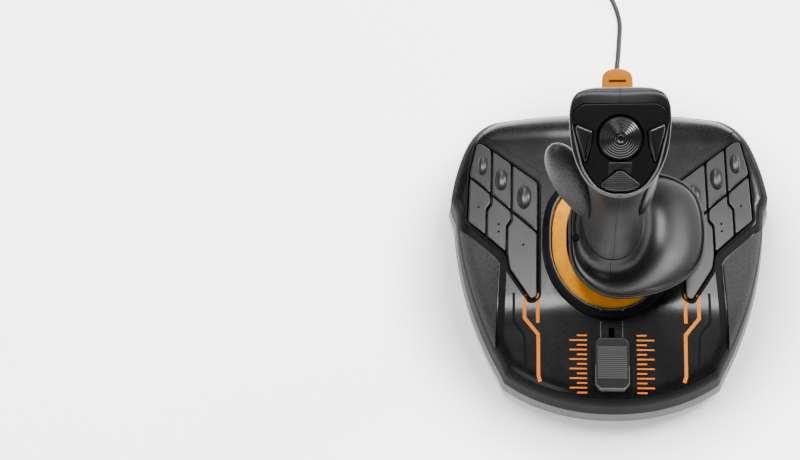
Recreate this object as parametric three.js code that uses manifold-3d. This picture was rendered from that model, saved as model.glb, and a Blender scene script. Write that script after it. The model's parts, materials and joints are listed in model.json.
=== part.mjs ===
// A desk flight joystick: a wide base with twelve keys, a throttle slider and a twist grip on a
// two-axis gimbal. Millimetres, +Z up. The origin is on the table under the middle of the base,
// and the user sits on the -Y side.
import * as THREE from 'three';
import { mergeVertices } from 'three/addons/utils/BufferGeometryUtils.js';
import Module from 'manifold-3d';

const wasm = await Module();
wasm.setup();

// ---- Driving dimensions ----
const BASE_WIDTH = 208;
const BASE_DEPTH = 212;
const FOOT_HEIGHT = 2;
const FOOT_RADIUS = 9;
const PAN_RIM_Z = 8; // the widest line of the lower shell
const PAN_TOP_Z = 16;
const WALL = 2.5;
const GAP = 0.3; // between touching pieces
const PLAY = 0.6; // between moving pieces

const COVER_TOP_Z = 47; // the plateau of the upper shell
const SIDE_FROM = 30; // where the sides begin to slope, from the middle
const SIDE_SLOPE = 0.1;
const FRONT_FROM = -44; // where the front slope begins
const FRONT_SLOPE = 0.24;
const REAR_SLOPE = 0.03;
const REAR_FROM = 72; // where the rear end rounds off
const REAR_DROP = 18;
const EDGE_INSET = 3.2;
const EDGE_DROP = 5;

const SOCKET_Y = -4; // the stick's axis
const RING_SIDE = 36; // the socket's lip: half width, reach to the user and away
const RING_USER = 44;
const RING_FAR = 40;
const BEZEL_WIDTH = 6;
const LIGHT_WIDTH = 9;

const KEY_ROW_SLOPE = 0.976; // the gap between the two rows of keys, in plan
const KEY_ROW_Y = 5;
const KEY_GAP = 0.9;
const KEY_TRAVEL = 1.5;
const KEY_RAISE = 1.6;
const POD_MARGIN = 15.5; // from the widest line of the base to the keys
const POD_DEPTH = 9;
const TRAY_WALL = 1.2;

const SLIDER_WIDTH = 21;
const SLIDER_LENGTH = 30.5;
const SLIDER_Y = -81.2;
const SLIDER_HEIGHT = 6;
const SLOT_WIDTH = 3.6;
const TRACK_WIDTH = 12.6; // the shallow track around the slot
const TRACK_DEPTH = 0.9;

const PIVOT_Z = 26; // the gimbal's centre
const DOME_CLEARANCE = 3.7;
const DOME_WALL = 2;
const SHAFT_RADIUS = 5;
const PIN_RADIUS = 2.5;

const SHELF_Z = 66; // underside of the palm rest
const NECK_Z = 85; // bottom of the grip's two shells
const HEAD_Z = 195; // top of the head
const GRIP_WALL = 3;
const FACE_TILT = 0.534; // the sloping face of the head, about X
const FACE_AT = [0, 0, HEAD_Z - 13];
const HAT_RADIUS = 11.5;
const TRIGGER_WIDTH = 17;
const TRIGGER_AT = [0, 24, HEAD_Z - 29]; // the trigger's hinge

const CORD_DIAMETER = 3.5;
const COIL_AT = [14, 144];
const COIL_RADIUS = 21;
const COIL_TURNS_WIDE = 3;
const COIL_TURNS_HIGH = 4;
const COIL_FLOOR = 1.4;

// From the gland at the rear of the base to where the coil begins, lying on the table.
const CORD_POINTS = [
  [0, 8.3, 11],
  [1.5, 17, 9.3],
  [5, 28, 4.2],
  [8.8, 41, 2],
  [10.6, 54, 1.9],
  [11.9, 70, 1.9],
  [12.6, 84, 1.9],
  [10, 97, 2.2],
  [5.5, 106, 6],
  [1, 114, 12.5],
  [-2.2, 122, 17.1],
  [-3.4, 131, 17.5],
  [-3.5, 139, 17.45],
];

// ---- Solids ----
const object = new THREE.Group();
const stick = new THREE.Group();
stick.position.y = SOCKET_Y;
const face = new THREE.Group();
face.position.set(...FACE_AT);
face.rotation.x = FACE_TILT;
stick.add(face);
// The lead's places are measured from the rear of the base.
const lead = new THREE.Group();
lead.position.y = BASE_DEPTH / 2;
object.add(stick, lead);

// A geometry's triangles as a solid that faces out.
function solid(geometry) {
  const bare = geometry.clone();
  bare.deleteAttribute('normal');
  bare.deleteAttribute('uv');
  const merged = mergeVertices(bare, 1e-4);
  const at = merged.attributes.position.array;
  const corners = [];
  for (let i = 0; i < merged.index.count; i += 3) {
    const [a, b, c] = merged.index.array.slice(i, i + 3);
    if (a !== b && b !== c && c !== a) corners.push([a, b, c]);
  }
  const point = (i) => new THREE.Vector3().fromArray(at, 3 * i);
  const volume = corners.reduce((sum, [a, b, c]) => sum + point(a).dot(point(b).cross(point(c))), 0);
  const facing = volume < 0 ? corners.map(([a, b, c]) => [a, c, b]) : corners;
  return new wasm.Manifold(
    new wasm.Mesh({ numProp: 3, vertProperties: at, triVerts: new Uint32Array(facing.flat()) }),
  );
}

// Adds a solid to a group as a named mesh.
function piece(name, shape, [color, roughness, metalness = 0], parent = object) {
  const { vertProperties, triVerts } = shape.getMesh();
  const geometry = new THREE.BufferGeometry();
  geometry.setAttribute('position', new THREE.BufferAttribute(vertProperties, 3));
  geometry.setIndex(new THREE.BufferAttribute(triVerts, 1));
  const mesh = new THREE.Mesh(
    geometry.toNonIndexed(),
    new THREE.MeshStandardMaterial({ color, roughness, metalness }),
  );
  mesh.geometry.computeVertexNormals();
  mesh.name = name;
  parent.add(mesh);
  return shape;
}

function placed(geometry, [x, y, z], [turnX, turnY, turnZ] = [0, 0, 0]) {
  const turn = new THREE.Euler(turnX, turnY, turnZ);
  const matrix = new THREE.Matrix4().makeRotationFromEuler(turn).setPosition(x, y, z);
  return geometry.applyMatrix4(matrix);
}

const box = (size, at, turn) => solid(placed(new THREE.BoxGeometry(...size), at, turn));
const rod = (radius, length, at, turn, sides = 20) =>
  solid(placed(new THREE.CylinderGeometry(radius, radius, length, sides), at, turn));
const UPRIGHT = [Math.PI / 2, 0, 0];
const ALONG_X = [0, 0, Math.PI / 2];

// Skins a stack of rings of equal length. An open stack gets a cap at each end.
function loft(rings, closed = false) {
  const count = rings[0].length;
  const points = rings.flat();
  const index = [];
  const last = closed ? rings.length : rings.length - 1;
  for (let r = 0; r < last; r++) {
    const a = r * count;
    const b = ((r + 1) % rings.length) * count;
    for (let i = 0; i < count; i++) {
      const j = (i + 1) % count;
      index.push(a + i, a + j, b + j, a + i, b + j, b + i);
    }
  }
  if (!closed) {
    for (const [r, turned] of [[0, true], [rings.length - 1, false]]) {
      const middle = rings[r].reduce((s, p) => s.map((v, k) => v + p[k] / count), [0, 0, 0]);
      const m = points.push(middle) - 1;
      for (let i = 0; i < count; i++) {
        const j = (i + 1) % count;
        index.push(m, ...(turned ? [r * count + j, r * count + i] : [r * count + i, r * count + j]));
      }
    }
  }
  const geometry = new THREE.BufferGeometry();
  geometry.setAttribute('position', new THREE.Float32BufferAttribute(points.flat(), 3));
  geometry.setIndex(index);
  return solid(geometry);
}

const lift = (points, z) => points.map(([x, y]) => [x, y, typeof z === 'function' ? z(x, y) : z]);
const mix = (a, b, t) => a + (b - a) * t;

// Moves each point of a closed clockwise outline inwards.
function inset(points, amount) {
  const n = points.length;
  return points.map(([x, y], i) => {
    const [px, py] = points[(i + n - 1) % n];
    const [qx, qy] = points[(i + 1) % n];
    const before = new THREE.Vector2(y - py, px - x).normalize();
    const after = new THREE.Vector2(qy - y, x - qx).normalize();
    const out = before.clone().add(after).normalize();
    const reach = amount / Math.max(out.dot(before), 0.5);
    return [x + out.x * reach, y + out.y * reach];
  });
}

// A plate between two heights, each a number or a function of x and y.
function slab(points, top, bottom) {
  const shape = new THREE.Shape(points.map(([x, y]) => new THREE.Vector2(x, y)));
  const geometry = new THREE.ExtrudeGeometry(shape, { depth: 1, bevelEnabled: false });
  const at = geometry.attributes.position;
  const height = (z, x, y) => (typeof z === 'function' ? z(x, y) : z);
  for (let i = 0; i < at.count; i++) {
    const [x, y] = [at.getX(i), at.getY(i)];
    at.setZ(i, height(at.getZ(i) > 0.5 ? top : bottom, x, y));
  }
  return solid(geometry);
}

// ---- Finishes: colour, roughness, metalness ----
const SATIN_GREY = [0x2a2b2d, 0.45];
const GLOSS_BLACK = [0x0d0d0e, 0.25];
const MATTE_BLACK = [0x151516, 0.6];
const KEY_GREY = [0x1c1d1e, 0.4];
const AMBER = [0xe0922f, 0.3];
const STEEL = [0x9a9ca0, 0.35, 0.9];
const BOARD = [0x1f5a36, 0.6];
const RUBBER = [0x101011, 0.9];
const GRAINED = [0x232425, 0.7];

// ---- The base's shape ----
const sides = [1, -1];
const sideName = (s) => (s > 0 ? 'right' : 'left');

// The outline of the base from the rear, clockwise.
function baseOutline() {
  const w = BASE_WIDTH / 2;
  const d = BASE_DEPTH / 2;
  const half = new THREE.Path();
  half.moveTo(0, d);
  half.quadraticCurveTo(0.46 * w, d, 0.72 * w, 0.94 * d);
  half.bezierCurveTo(0.86 * w, 0.88 * d, 0.97 * w, 0.62 * d, w, 0.33 * d);
  half.lineTo(0.965 * w, 0.235 * d);
  half.quadraticCurveTo(0.92 * w, -0.3 * d, 0.68 * w, -0.735 * d);
  half.lineTo(0.645 * w, -0.81 * d);
  half.quadraticCurveTo(0.38 * w, -d, 0, -d);
  const right = half.getPoints(5).map((p) => [p.x, p.y]);
  const left = right.slice(1, -1).reverse();
  return [...right, ...left.map(([x, y]) => [-x, y])];
}

// Zero before a bend, straight after it, rounded over a width on each side.
function ramp(t, width) {
  if (t < -width) return 0;
  return t > width ? t : (t + width) ** 2 / (4 * width);
}

function coverZ(x, y) {
  const rear = Math.max(0, (y - REAR_FROM) / (BASE_DEPTH / 2 - REAR_FROM));
  return (
    COVER_TOP_Z -
    SIDE_SLOPE * ramp(Math.abs(x) - SIDE_FROM, 12) -
    FRONT_SLOPE * ramp(FRONT_FROM - y, 6) -
    REAR_SLOPE * ramp(y - FRONT_FROM, 6) -
    REAR_DROP * rear ** 2
  );
}

// The outline of the stick's socket, grown by an amount, at an angle about the stick's axis.
function socketPoint(angle, grow = 0) {
  const [c, s] = [Math.cos(angle), Math.sin(angle)];
  const power = s > 0 ? 3.2 : 2;
  const reach = (s > 0 ? RING_FAR : RING_USER) + grow;
  const radius = (Math.abs(c / (RING_SIDE + grow)) ** power + Math.abs(s / reach) ** power) ** (-1 / power);
  return [radius * c, SOCKET_Y + radius * s];
}

const outline = baseOutline();
const COVER_RINGS = [0.06, 0.14, 0.4, 0.7, 1];
const COVER_HOLE = 2; // how far the cover's hole reaches past the socket's lip

// The cover's rings from its skirt up to its hole, raised by an amount.
function coverRings(raise, thinner = 0) {
  const skirt = inset(outline, 1.8 + thinner);
  const edge = inset(outline, EDGE_INSET + thinner);
  const hole = edge.map(([x, y]) => socketPoint(Math.atan2(y - SOCKET_Y, x), COVER_HOLE));
  const level = (t) => (x, y) => coverZ(x, y) + raise - thinner - EDGE_DROP * Math.max(0, 1 - t / 0.14) ** 2;
  const across = (t) => edge.map(([x, y], i) => [mix(x, hole[i][0], t), mix(y, hole[i][1], t)]);
  return [
    lift(skirt, PAN_TOP_Z + GAP),
    lift(edge, level(0)),
    ...COVER_RINGS.map((t) => lift(across(t), level(t))),
  ];
}

const coverFill = (raise) => loft(coverRings(raise));

// ---- Keys ----
const podInner = RING_SIDE + BEZEL_WIDTH + 3;
const podOuter = BASE_WIDTH / 2 - POD_MARGIN;
const podWidth = podOuter - podInner;
const rowY = (x) => KEY_ROW_Y + KEY_ROW_SLOPE * (x - podInner);
const farY = (x) => rowY(x) + 36 - 0.11 * (x - podInner);
const nearY = (x) => rowY(x) - 32;
const columns = [podInner, podInner + 0.38 * podWidth, podInner + 0.68 * podWidth, podOuter];
const JOG = 2.8; // how far the sides of the near keys step outwards
const podCorner = columns[1] + JOG;

// The plan outlines of the right-hand keys, then the left-hand ones by mirroring.
function podOutline() {
  return [
    [podInner, farY(podInner)],
    [podOuter - 8, farY(podOuter - 8)],
    [podOuter - 4, farY(podOuter - 4) - 2.6],
    [podOuter, rowY(podOuter) + 4],
    [podOuter + 0.8, nearY(podOuter + 0.8)],
    [podCorner, nearY(podCorner)],
    [podCorner - 2, nearY(podCorner - 2) - 9],
    [podInner + 4, nearY(podInner) - 14],
    [podInner, nearY(podInner) - 12],
  ];
}

function keyOutline(number) {
  const column = (number - 1) % 3;
  const [from, to] = [columns[column], columns[column + 1]];
  const g = KEY_GAP / 2;
  const a = from + (column ? g : 0);
  const b = to - (column < 2 ? g : 0);
  if (number === 3) {
    return [
      [a, rowY(a) + g],
      [a, farY(a)],
      [b - 8, farY(b - 8)],
      [b - 4, farY(b - 4) - 2.6],
      [b, rowY(b) + 4],
      [b - 0.3, rowY(b) + g],
    ];
  }
  if (number < 3) return [[a, rowY(a) + g], [a, farY(a)], [b, farY(b)], [b, rowY(b) + g]];
  const inner = column ? stepped(a).reverse() : [[a, nearY(a) - 12], [a, rowY(a) - g]];
  const outer = column < 2 ? stepped(b) : [[b, rowY(b) - g], [b + 0.5, nearY(b)]];
  const tail = number === 4 ? [[podCorner - 2, nearY(podCorner - 2) - 9], [a + 4, nearY(a) - 14]] : [];
  return [...inner, ...outer, ...tail];
}

// The side of a near key, from the row's line towards the user, with a step outwards.
function stepped(x) {
  const g = KEY_GAP / 2;
  return [
    [x, rowY(x) - g],
    [x, rowY(x) - 7],
    [x + JOG, rowY(x) - 10.5],
    [x + JOG, nearY(x + JOG)],
  ];
}

// The plane of the keys, which the cover follows between its rounded ends.
const podZ = (x, y) => COVER_TOP_Z - SIDE_SLOPE * (Math.abs(x) - SIDE_FROM) - REAR_SLOPE * (y - FRONT_FROM);
const offPod = (amount) => (x, y) => podZ(x, y) + amount;

// A clockwise outline on one side of the base.
function onSide(points, side) {
  const mirrored = points.map(([x, y]) => [side * x, y]);
  return THREE.ShapeUtils.area(mirrored.map(([x, y]) => new THREE.Vector2(x, y))) < 0
    ? mirrored
    : mirrored.reverse();
}

function addKeys(side) {
  const name = sideName(side);
  const pod = onSide(podOutline(), side);
  const outer = slab(inset(pod, -TRAY_WALL - KEY_GAP), offPod(0.5), offPod(-POD_DEPTH));
  const room = slab(inset(pod, -KEY_GAP), offPod(2), offPod(TRAY_WALL - POD_DEPTH));
  piece(`key_tray_${name}`, outer.subtract(room), MATTE_BLACK);
  const boardFloor = TRAY_WALL - POD_DEPTH + GAP;
  const board = slab(inset(pod, 1.5), offPod(boardFloor + 1.2), offPod(boardFloor));
  piece(`key_board_${name}`, board, BOARD);
  for (let number = 1; number <= 6; number++) {
    const plan = onSide(keyOutline(number), side);
    let key = slab(plan, offPod(KEY_RAISE - 0.6), offPod(boardFloor + 1.2 + KEY_TRAVEL + PLAY));
    key = key.add(slab(inset(plan, 0.7), offPod(KEY_RAISE), offPod(0)));
    if (number <= 3) {
      const [x, y] = keyMiddle(number);
      const bead = new THREE.SphereGeometry(1, 12, 6).scale(4.4, 8.4, 2.6);
      key = key.add(solid(placed(bead, [side * x, y, podZ(x, y) + KEY_RAISE - 0.4])));
    }
    piece(`key_${name}_${number}`, key, KEY_GREY);
  }
}

// Where the bead of an upper key sits.
function keyMiddle(number) {
  const x = (columns[number - 1] + columns[number]) / 2 - (number === 3 ? 1 : 0);
  return [x, (rowY(x) + farY(x)) / 2];
}

// ---- Base ----
function addBase() {
  const floor = FOOT_HEIGHT + GAP;
  const shell = loft([
    lift(inset(outline, 7), floor),
    lift(outline, PAN_RIM_Z),
    lift(inset(outline, 1.8), PAN_TOP_Z),
  ]);
  const inside = loft([
    lift(inset(outline, 7 + WALL), floor + WALL),
    lift(inset(outline, WALL), PAN_RIM_Z),
    lift(inset(outline, 1.8 + WALL), PAN_TOP_Z + 1),
  ]);
  const cordHole = rod(CORD_DIAMETER / 2 + 2.3, 20, [0, BASE_DEPTH / 2, CORD_POINTS[0][2]], [0, 0, 0]);
  piece('base_pan', shell.subtract(inside).subtract(cordHole), SATIN_GREY);

  [[1, 1], [-1, 1], [-1, -1], [1, -1]].forEach(([sx, sy], i) => {
    const x = BASE_WIDTH / 2 - (sy > 0 ? 36 : 50);
    const at = [sx * x, sy * (BASE_DEPTH / 2 - 34), FOOT_HEIGHT / 2];
    piece(`foot_${i + 1}`, rod(FOOT_RADIUS, FOOT_HEIGHT, at, UPRIGHT), RUBBER);
  });

  let cover = loft([...coverRings(0), ...coverRings(0, WALL).reverse()], true);
  for (const side of sides) {
    const pod = onSide(podOutline(), side);
    const grown = inset(pod, -TRAY_WALL - KEY_GAP - GAP);
    cover = cover.subtract(slab(grown, COVER_TOP_Z + 20, offPod(-POD_DEPTH - 5)));
  }
  const slotFrom = SLIDER_Y - SLIDER_LENGTH / 2 + 5;
  const slotTo = SOCKET_Y - RING_USER - BEZEL_WIDTH - 4;
  const slotSize = [SLOT_WIDTH, slotTo - slotFrom, 40];
  cover = cover.subtract(box(slotSize, [0, (slotFrom + slotTo) / 2, COVER_TOP_Z]));
  const track = slotted(TRACK_WIDTH, slotTo - slotFrom + 3.4, 0.6);
  const trackAt = track.map(([x, y]) => [x, y + (slotFrom + slotTo) / 2 + 1.7]);
  cover = cover.subtract(slab(trackAt, COVER_TOP_Z + 20, (x, y) => coverZ(x, y) - TRACK_DEPTH));
  piece('top_cover', cover, GLOSS_BLACK);
}

// The grained plates on the flanks, seated on the cover.
function addWings() {
  const raise = 1.4;
  for (const side of sides) {
    const below = (x, drop) => [podCorner + x, nearY(podCorner + x) - drop];
    const front = -0.72 * (BASE_DEPTH / 2);
    const region = onSide(
      [
        below(podOuter + 9 - podCorner, 10.6),
        below(6.2, 10.9),
        below(5, 12.7),
        [podCorner + 6.7, front],
        [BASE_WIDTH, front],
        [BASE_WIDTH, nearY(podOuter + 9) - 10.6],
      ],
      side,
    );
    const inner = slab(inset(outline, EDGE_INSET + 1), COVER_TOP_Z + 20, PAN_TOP_Z);
    const plate = slab(region, COVER_TOP_Z + 20, PAN_TOP_Z + 1)
      .intersect(inner)
      .intersect(coverFill(raise + GAP))
      .subtract(coverFill(GAP))
      .subtract(slab(inset(onSide(podOutline(), side), -TRAY_WALL - KEY_GAP - GAP), COVER_TOP_Z + 20, 0));
    piece(`wing_plate_${sideName(side)}`, plate, GRAINED);
  }
}

// A ring that follows the socket, from a section of [grow, height] points.
function socketRing(section) {
  const count = 32;
  const angles = Array.from({ length: count }, (_, i) => (2 * Math.PI * i) / count);
  const rings = section.map(([grow, z]) => lift(angles.map((a) => socketPoint(a, grow)), z));
  return loft(rings, true);
}

function addSocket() {
  const top = COVER_TOP_Z;
  const fill = coverFill(GAP);
  const bezel = socketRing([
    [BEZEL_WIDTH, top - 3],
    [BEZEL_WIDTH - 0.6, top + 1.6],
    [1, top + 3.4],
    [0, top + 3],
    [0, top - 6],
    [COVER_HOLE - GAP, top - 6],
    [COVER_HOLE - GAP, top - 3],
  ]);
  const hole = socketRing([[-0.1, top + 9], [-0.1, top - 12], [COVER_HOLE - GAP, top - 12], [COVER_HOLE - GAP, top + 9]]);
  piece('ring_bezel', bezel.subtract(fill.subtract(hole)), GLOSS_BLACK);
  const light = socketRing([
    [-GAP, top + 1.5],
    [-LIGHT_WIDTH, top + 4.2],
    [-LIGHT_WIDTH, top + 0.6],
    [-GAP, top - 2.5],
  ]);
  piece('light_ring', light, AMBER);
}

function addThrottle() {
  const cap = slab(
    inset(slotted(SLIDER_WIDTH, SLIDER_LENGTH), 0).map(([x, y]) => [x, y + SLIDER_Y]),
    (x, y) => coverZ(x, y) + SLIDER_HEIGHT,
    (x, y) => coverZ(x, y) + 1.2,
  );
  const reach = [SLOT_WIDTH - 2 * PLAY, 12, 16];
  const stem = box(reach, [0, SLIDER_Y, coverZ(0, SLIDER_Y) - 5.5]);
  piece('throttle_slider', cap.add(stem), MATTE_BLACK);
  piece('throttle_pot', box([14, 40, 8], [0, SLIDER_Y + 10, PAN_RIM_Z + 3]), STEEL);
}

// A clockwise rectangle with cut corners.
function slotted(width, length, cut = 3) {
  const [w, l] = [width / 2, length / 2];
  return [[-w, l - cut], [cut - w, l], [w - cut, l], [w, l - cut], [w, cut - l], [w - cut, -l], [cut - w, -l], [-w, cut - l]];
}

function addBoards() {
  const floor = FOOT_HEIGHT + WALL + 2 * GAP;
  piece('ballast_plate', box([96, 44, 4], [0, 62, floor + 2]), STEEL);
  piece('main_board', box([84, 34, 1.6], [0, 62, floor + 7]), BOARD);
  piece('sensor_board', box([15, 15, 1.6], [0, SOCKET_Y, floor + 0.8]), BOARD);
}

// ---- Gimbal ----
const hubRadius = SHAFT_RADIUS + 4;
const ringInner = hubRadius + 5;
const ringRadius = ringInner + 4;
const postX = ringRadius + 6;
const POST = [4, 10, 4]; // thickness, width, height over the hinge
const domeRadius = Math.hypot(postX + POST[0] / 2, POST[1] / 2, POST[2]) + DOME_CLEARANCE + DOME_WALL;

function addGimbal() {
  const floor = FOOT_HEIGHT + WALL + 2 * GAP;
  const plate = rod(postX + 5, 3, [0, 0, floor + 1.5], UPRIGHT, 24).subtract(rod(12, 9, [0, 0, floor], UPRIGHT));
  let frame = plate;
  for (const side of sides) {
    const height = PIVOT_Z + POST[2] - floor - 1;
    frame = frame.add(box([POST[0], POST[1], height], [side * postX, 0, floor + 1 + height / 2]));
  }
  const pinHole = rod(PIN_RADIUS + PLAY / 2, 2 * postX + 12, [0, 0, PIVOT_Z], ALONG_X);
  piece('gimbal_frame', frame.subtract(pinHole), STEEL, stick);

  const band = rod(ringRadius, 8, [0, 0, PIVOT_Z], UPRIGHT, 24).subtract(
    rod(ringInner, 12, [0, 0, PIVOT_Z], UPRIGHT, 24),
  );
  const pinLength = postX + 1.8 - ringRadius + 2;
  let ring = band;
  for (const side of sides) {
    const middle = side * (postX + 1.8 - pinLength / 2);
    ring = ring.add(rod(PIN_RADIUS, pinLength, [middle, 0, PIVOT_Z], ALONG_X));
  }
  ring = ring.subtract(rod(PIN_RADIUS + PLAY / 2, 60, [0, 0, PIVOT_Z], [0, 0, 0]));
  piece('gimbal_ring', ring, STEEL, stick);

  const hub = rod(hubRadius, 9, [0, 0, PIVOT_Z], UPRIGHT, 24);
  const cross = rod(PIN_RADIUS, 2 * ringRadius - 0.6, [0, 0, PIVOT_Z], [0, 0, 0]);
  const shaftTop = NECK_Z + 12;
  const shaftBottom = PIVOT_Z - 12;
  const middle = (shaftTop + shaftBottom) / 2;
  const shaft = rod(SHAFT_RADIUS, shaftTop - shaftBottom, [0, 0, middle], UPRIGHT, 24);
  piece('stick_shaft', shaft.add(hub).add(cross), STEEL, stick);

  const turns = 4;
  const springRadius = SHAFT_RADIUS + 3.2;
  const roof = Math.sqrt((domeRadius - DOME_WALL) ** 2 - (springRadius + 1) ** 2);
  const [low, high] = [PIVOT_Z + 7, PIVOT_Z + roof - 7];
  const helix = Array.from({ length: turns * 12 + 1 }, (_, i) => {
    const angle = (i * Math.PI) / 6;
    const z = mix(low, high, i / (turns * 12));
    return new THREE.Vector3(springRadius * Math.cos(angle), springRadius * Math.sin(angle), z);
  });
  const wire = new THREE.Shape(regular(0.9, 6));
  const path = new THREE.CatmullRomCurve3(helix);
  const spring = new THREE.ExtrudeGeometry(wire, { steps: turns * 12, extrudePath: path, bevelEnabled: false });
  piece('centring_spring', solid(spring), STEEL, stick);

  const cap = [];
  const wallAt = (radius, from, to, steps) => {
    for (let i = 0; i <= steps; i++) {
      const polar = mix(from, to, i / steps);
      cap.push(new THREE.Vector2(radius * Math.sin(polar), radius * Math.cos(polar)));
    }
  };
  const mouth = Math.asin((SHAFT_RADIUS + PLAY) / (domeRadius - DOME_WALL));
  wallAt(domeRadius, mouth, 1.18, 6);
  wallAt(domeRadius - DOME_WALL, 1.18, mouth, 6);
  cap.push(cap[0].clone());
  const dome = placed(new THREE.LatheGeometry(cap, 24), [0, 0, PIVOT_Z], UPRIGHT);
  piece('dust_dome', solid(dome), MATTE_BLACK, stick);
}

const regular = (radius, count) =>
  Array.from({ length: count }, (_, i) => {
    const angle = (2 * Math.PI * i) / count;
    return new THREE.Vector2(radius * Math.cos(angle), radius * Math.sin(angle));
  });

// ---- Grip ----
// Sections from the neck up: share of the height, half width, reach to the user, reach away,
// squareness towards the user, squareness away.
const GRIP_SECTIONS = [
  [0, 18, 28, 26, 2.2, 2.2],
  [0.14, 15.6, 25, 24, 2.2, 2.3],
  [0.32, 15, 22.5, 25, 2.2, 2.4],
  [0.5, 17, 22, 27, 2.1, 2.6],
  [0.62, 20, 24, 29.5, 2.1, 2.9],
  [0.74, 23.6, 27.6, 30.5, 2.1, 3.5],
  [0.82, 25.4, 27.8, 30.3, 2.15, 4],
  [0.92, 27.4, 28, 28.8, 2.3, 4.4],
  [1, 26.9, 28, 24.5, 2.4, 4.6],
];

function gripSection([share, half, user, far, userPower, farPower], grow, count = 28) {
  const z = mix(NECK_Z + GAP, HEAD_Z, share);
  return Array.from({ length: count }, (_, i) => {
    const angle = -(2 * Math.PI * i) / count;
    const [c, s] = [Math.cos(angle), Math.sin(angle)];
    const [reach, power] = s > 0 ? [far + grow, farPower] : [user + grow, userPower];
    const radius = (Math.abs(c / (half + grow)) ** power + Math.abs(s / reach) ** power) ** (-1 / power);
    return [radius * c, radius * s, z];
  });
}

// The grip's outer shape grown by an amount, whole or below the sloping face.
function gripFill(grow, sections = GRIP_SECTIONS) {
  return loft(sections.map((section) => gripSection(section, grow)));
}

// A box under the sloping face, whose top lies at a depth below it.
function underFace(depth) {
  const block = new THREE.BoxGeometry(200, 200, 200).translate(0, 0, -100 - depth);
  return solid(placed(block, FACE_AT, [FACE_TILT, 0, 0]));
}

// A plate in the face's own plane.
function facePlate(points, top, bottom) {
  const shape = new THREE.Shape(points.map(([x, y]) => new THREE.Vector2(x, y)));
  const geometry = new THREE.ExtrudeGeometry(shape, { depth: top - bottom, bevelEnabled: false });
  return geometry.translate(0, 0, bottom);
}

const inFace = (geometry) => placed(geometry, FACE_AT, [FACE_TILT, 0, 0]);
const FACE_OUTLINE = [
  [-20, 18.5],
  [20, 18.5],
  [25, 15],
  [25.3, 9],
  [20.4, -12.5],
  [16.5, -20.5],
  [11.5, -26.5],
  [4.5, -29.6],
  [-4.5, -29.6],
  [-11.5, -26.5],
  [-16.5, -20.5],
  [-20.4, -12.5],
  [-25.3, 9],
  [-25, 15],
];
const BUTTON_OUTLINE = [[14.6, 4], [23.8, 7.8], [23.9, 4], [19.9, -12.5], [18, -13.2], [15, -2.5]];
const BUTTON_DEPTH = 3.2;
const FAN_OUTLINE = [[-1.5, -17.6], [1.5, -17.6], [10.6, -24.6], [9.6, -26.2], [4, -28.4], [-4, -28.4], [-9.6, -26.2], [-10.6, -24.6]];

// The trigger's side view, [y, z] from its hinge.
function triggerProfile(grow) {
  const shape = new THREE.Shape();
  shape.moveTo(-3.5 - grow, 4.5 + grow);
  shape.lineTo(10, 5.5 + grow);
  shape.quadraticCurveTo(30 + grow, 6 + grow, 32.5 + grow, -3);
  shape.quadraticCurveTo(25 + grow, -17, 26 + grow, -33);
  shape.lineTo(31 + grow, -41);
  shape.lineTo(27, -44 - grow);
  shape.lineTo(21 - grow, -37);
  shape.quadraticCurveTo(20 - grow, -14, 9, -9 - grow);
  shape.lineTo(-3.5 - grow, -4.5 - grow);
  return shape;
}

function triggerSolid(grow) {
  const width = TRIGGER_WIDTH + 2 * grow;
  const side = new THREE.ExtrudeGeometry(triggerProfile(grow), {
    depth: width,
    bevelEnabled: false,
    curveSegments: 4,
  }).translate(0, 0, -width / 2);
  // The profile's x becomes +Y and its y becomes +Z.
  const turn = new THREE.Matrix4().makeBasis(
    new THREE.Vector3(0, 1, 0),
    new THREE.Vector3(0, 0, 1),
    new THREE.Vector3(1, 0, 0),
  );
  const nose = slab(noseOutline(grow), TRIGGER_AT[2] + 20, TRIGGER_AT[2] - 60);
  return solid(side.applyMatrix4(turn).translate(...TRIGGER_AT)).intersect(nose);
}

// The trigger's outline in plan, with a half-round nose, clockwise.
function noseOutline(grow) {
  const radius = TRIGGER_WIDTH / 2 + grow;
  const [back, centre] = [TRIGGER_AT[1] - 10, TRIGGER_AT[1] + 20];
  const arc = Array.from({ length: 13 }, (_, i) => {
    const angle = Math.PI - (Math.PI * i) / 12;
    return [radius * Math.cos(angle), centre + radius * Math.sin(angle)];
  });
  return [[-radius, back], ...arc, [radius, back]];
}

// The room that a side button needs in the grip's wall.
function buttonRoom(side) {
  return solid(inFace(facePlate(inset(onSide(BUTTON_OUTLINE, side), -0.4), 20, -BUTTON_DEPTH - PLAY - 1.2)));
}

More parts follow.
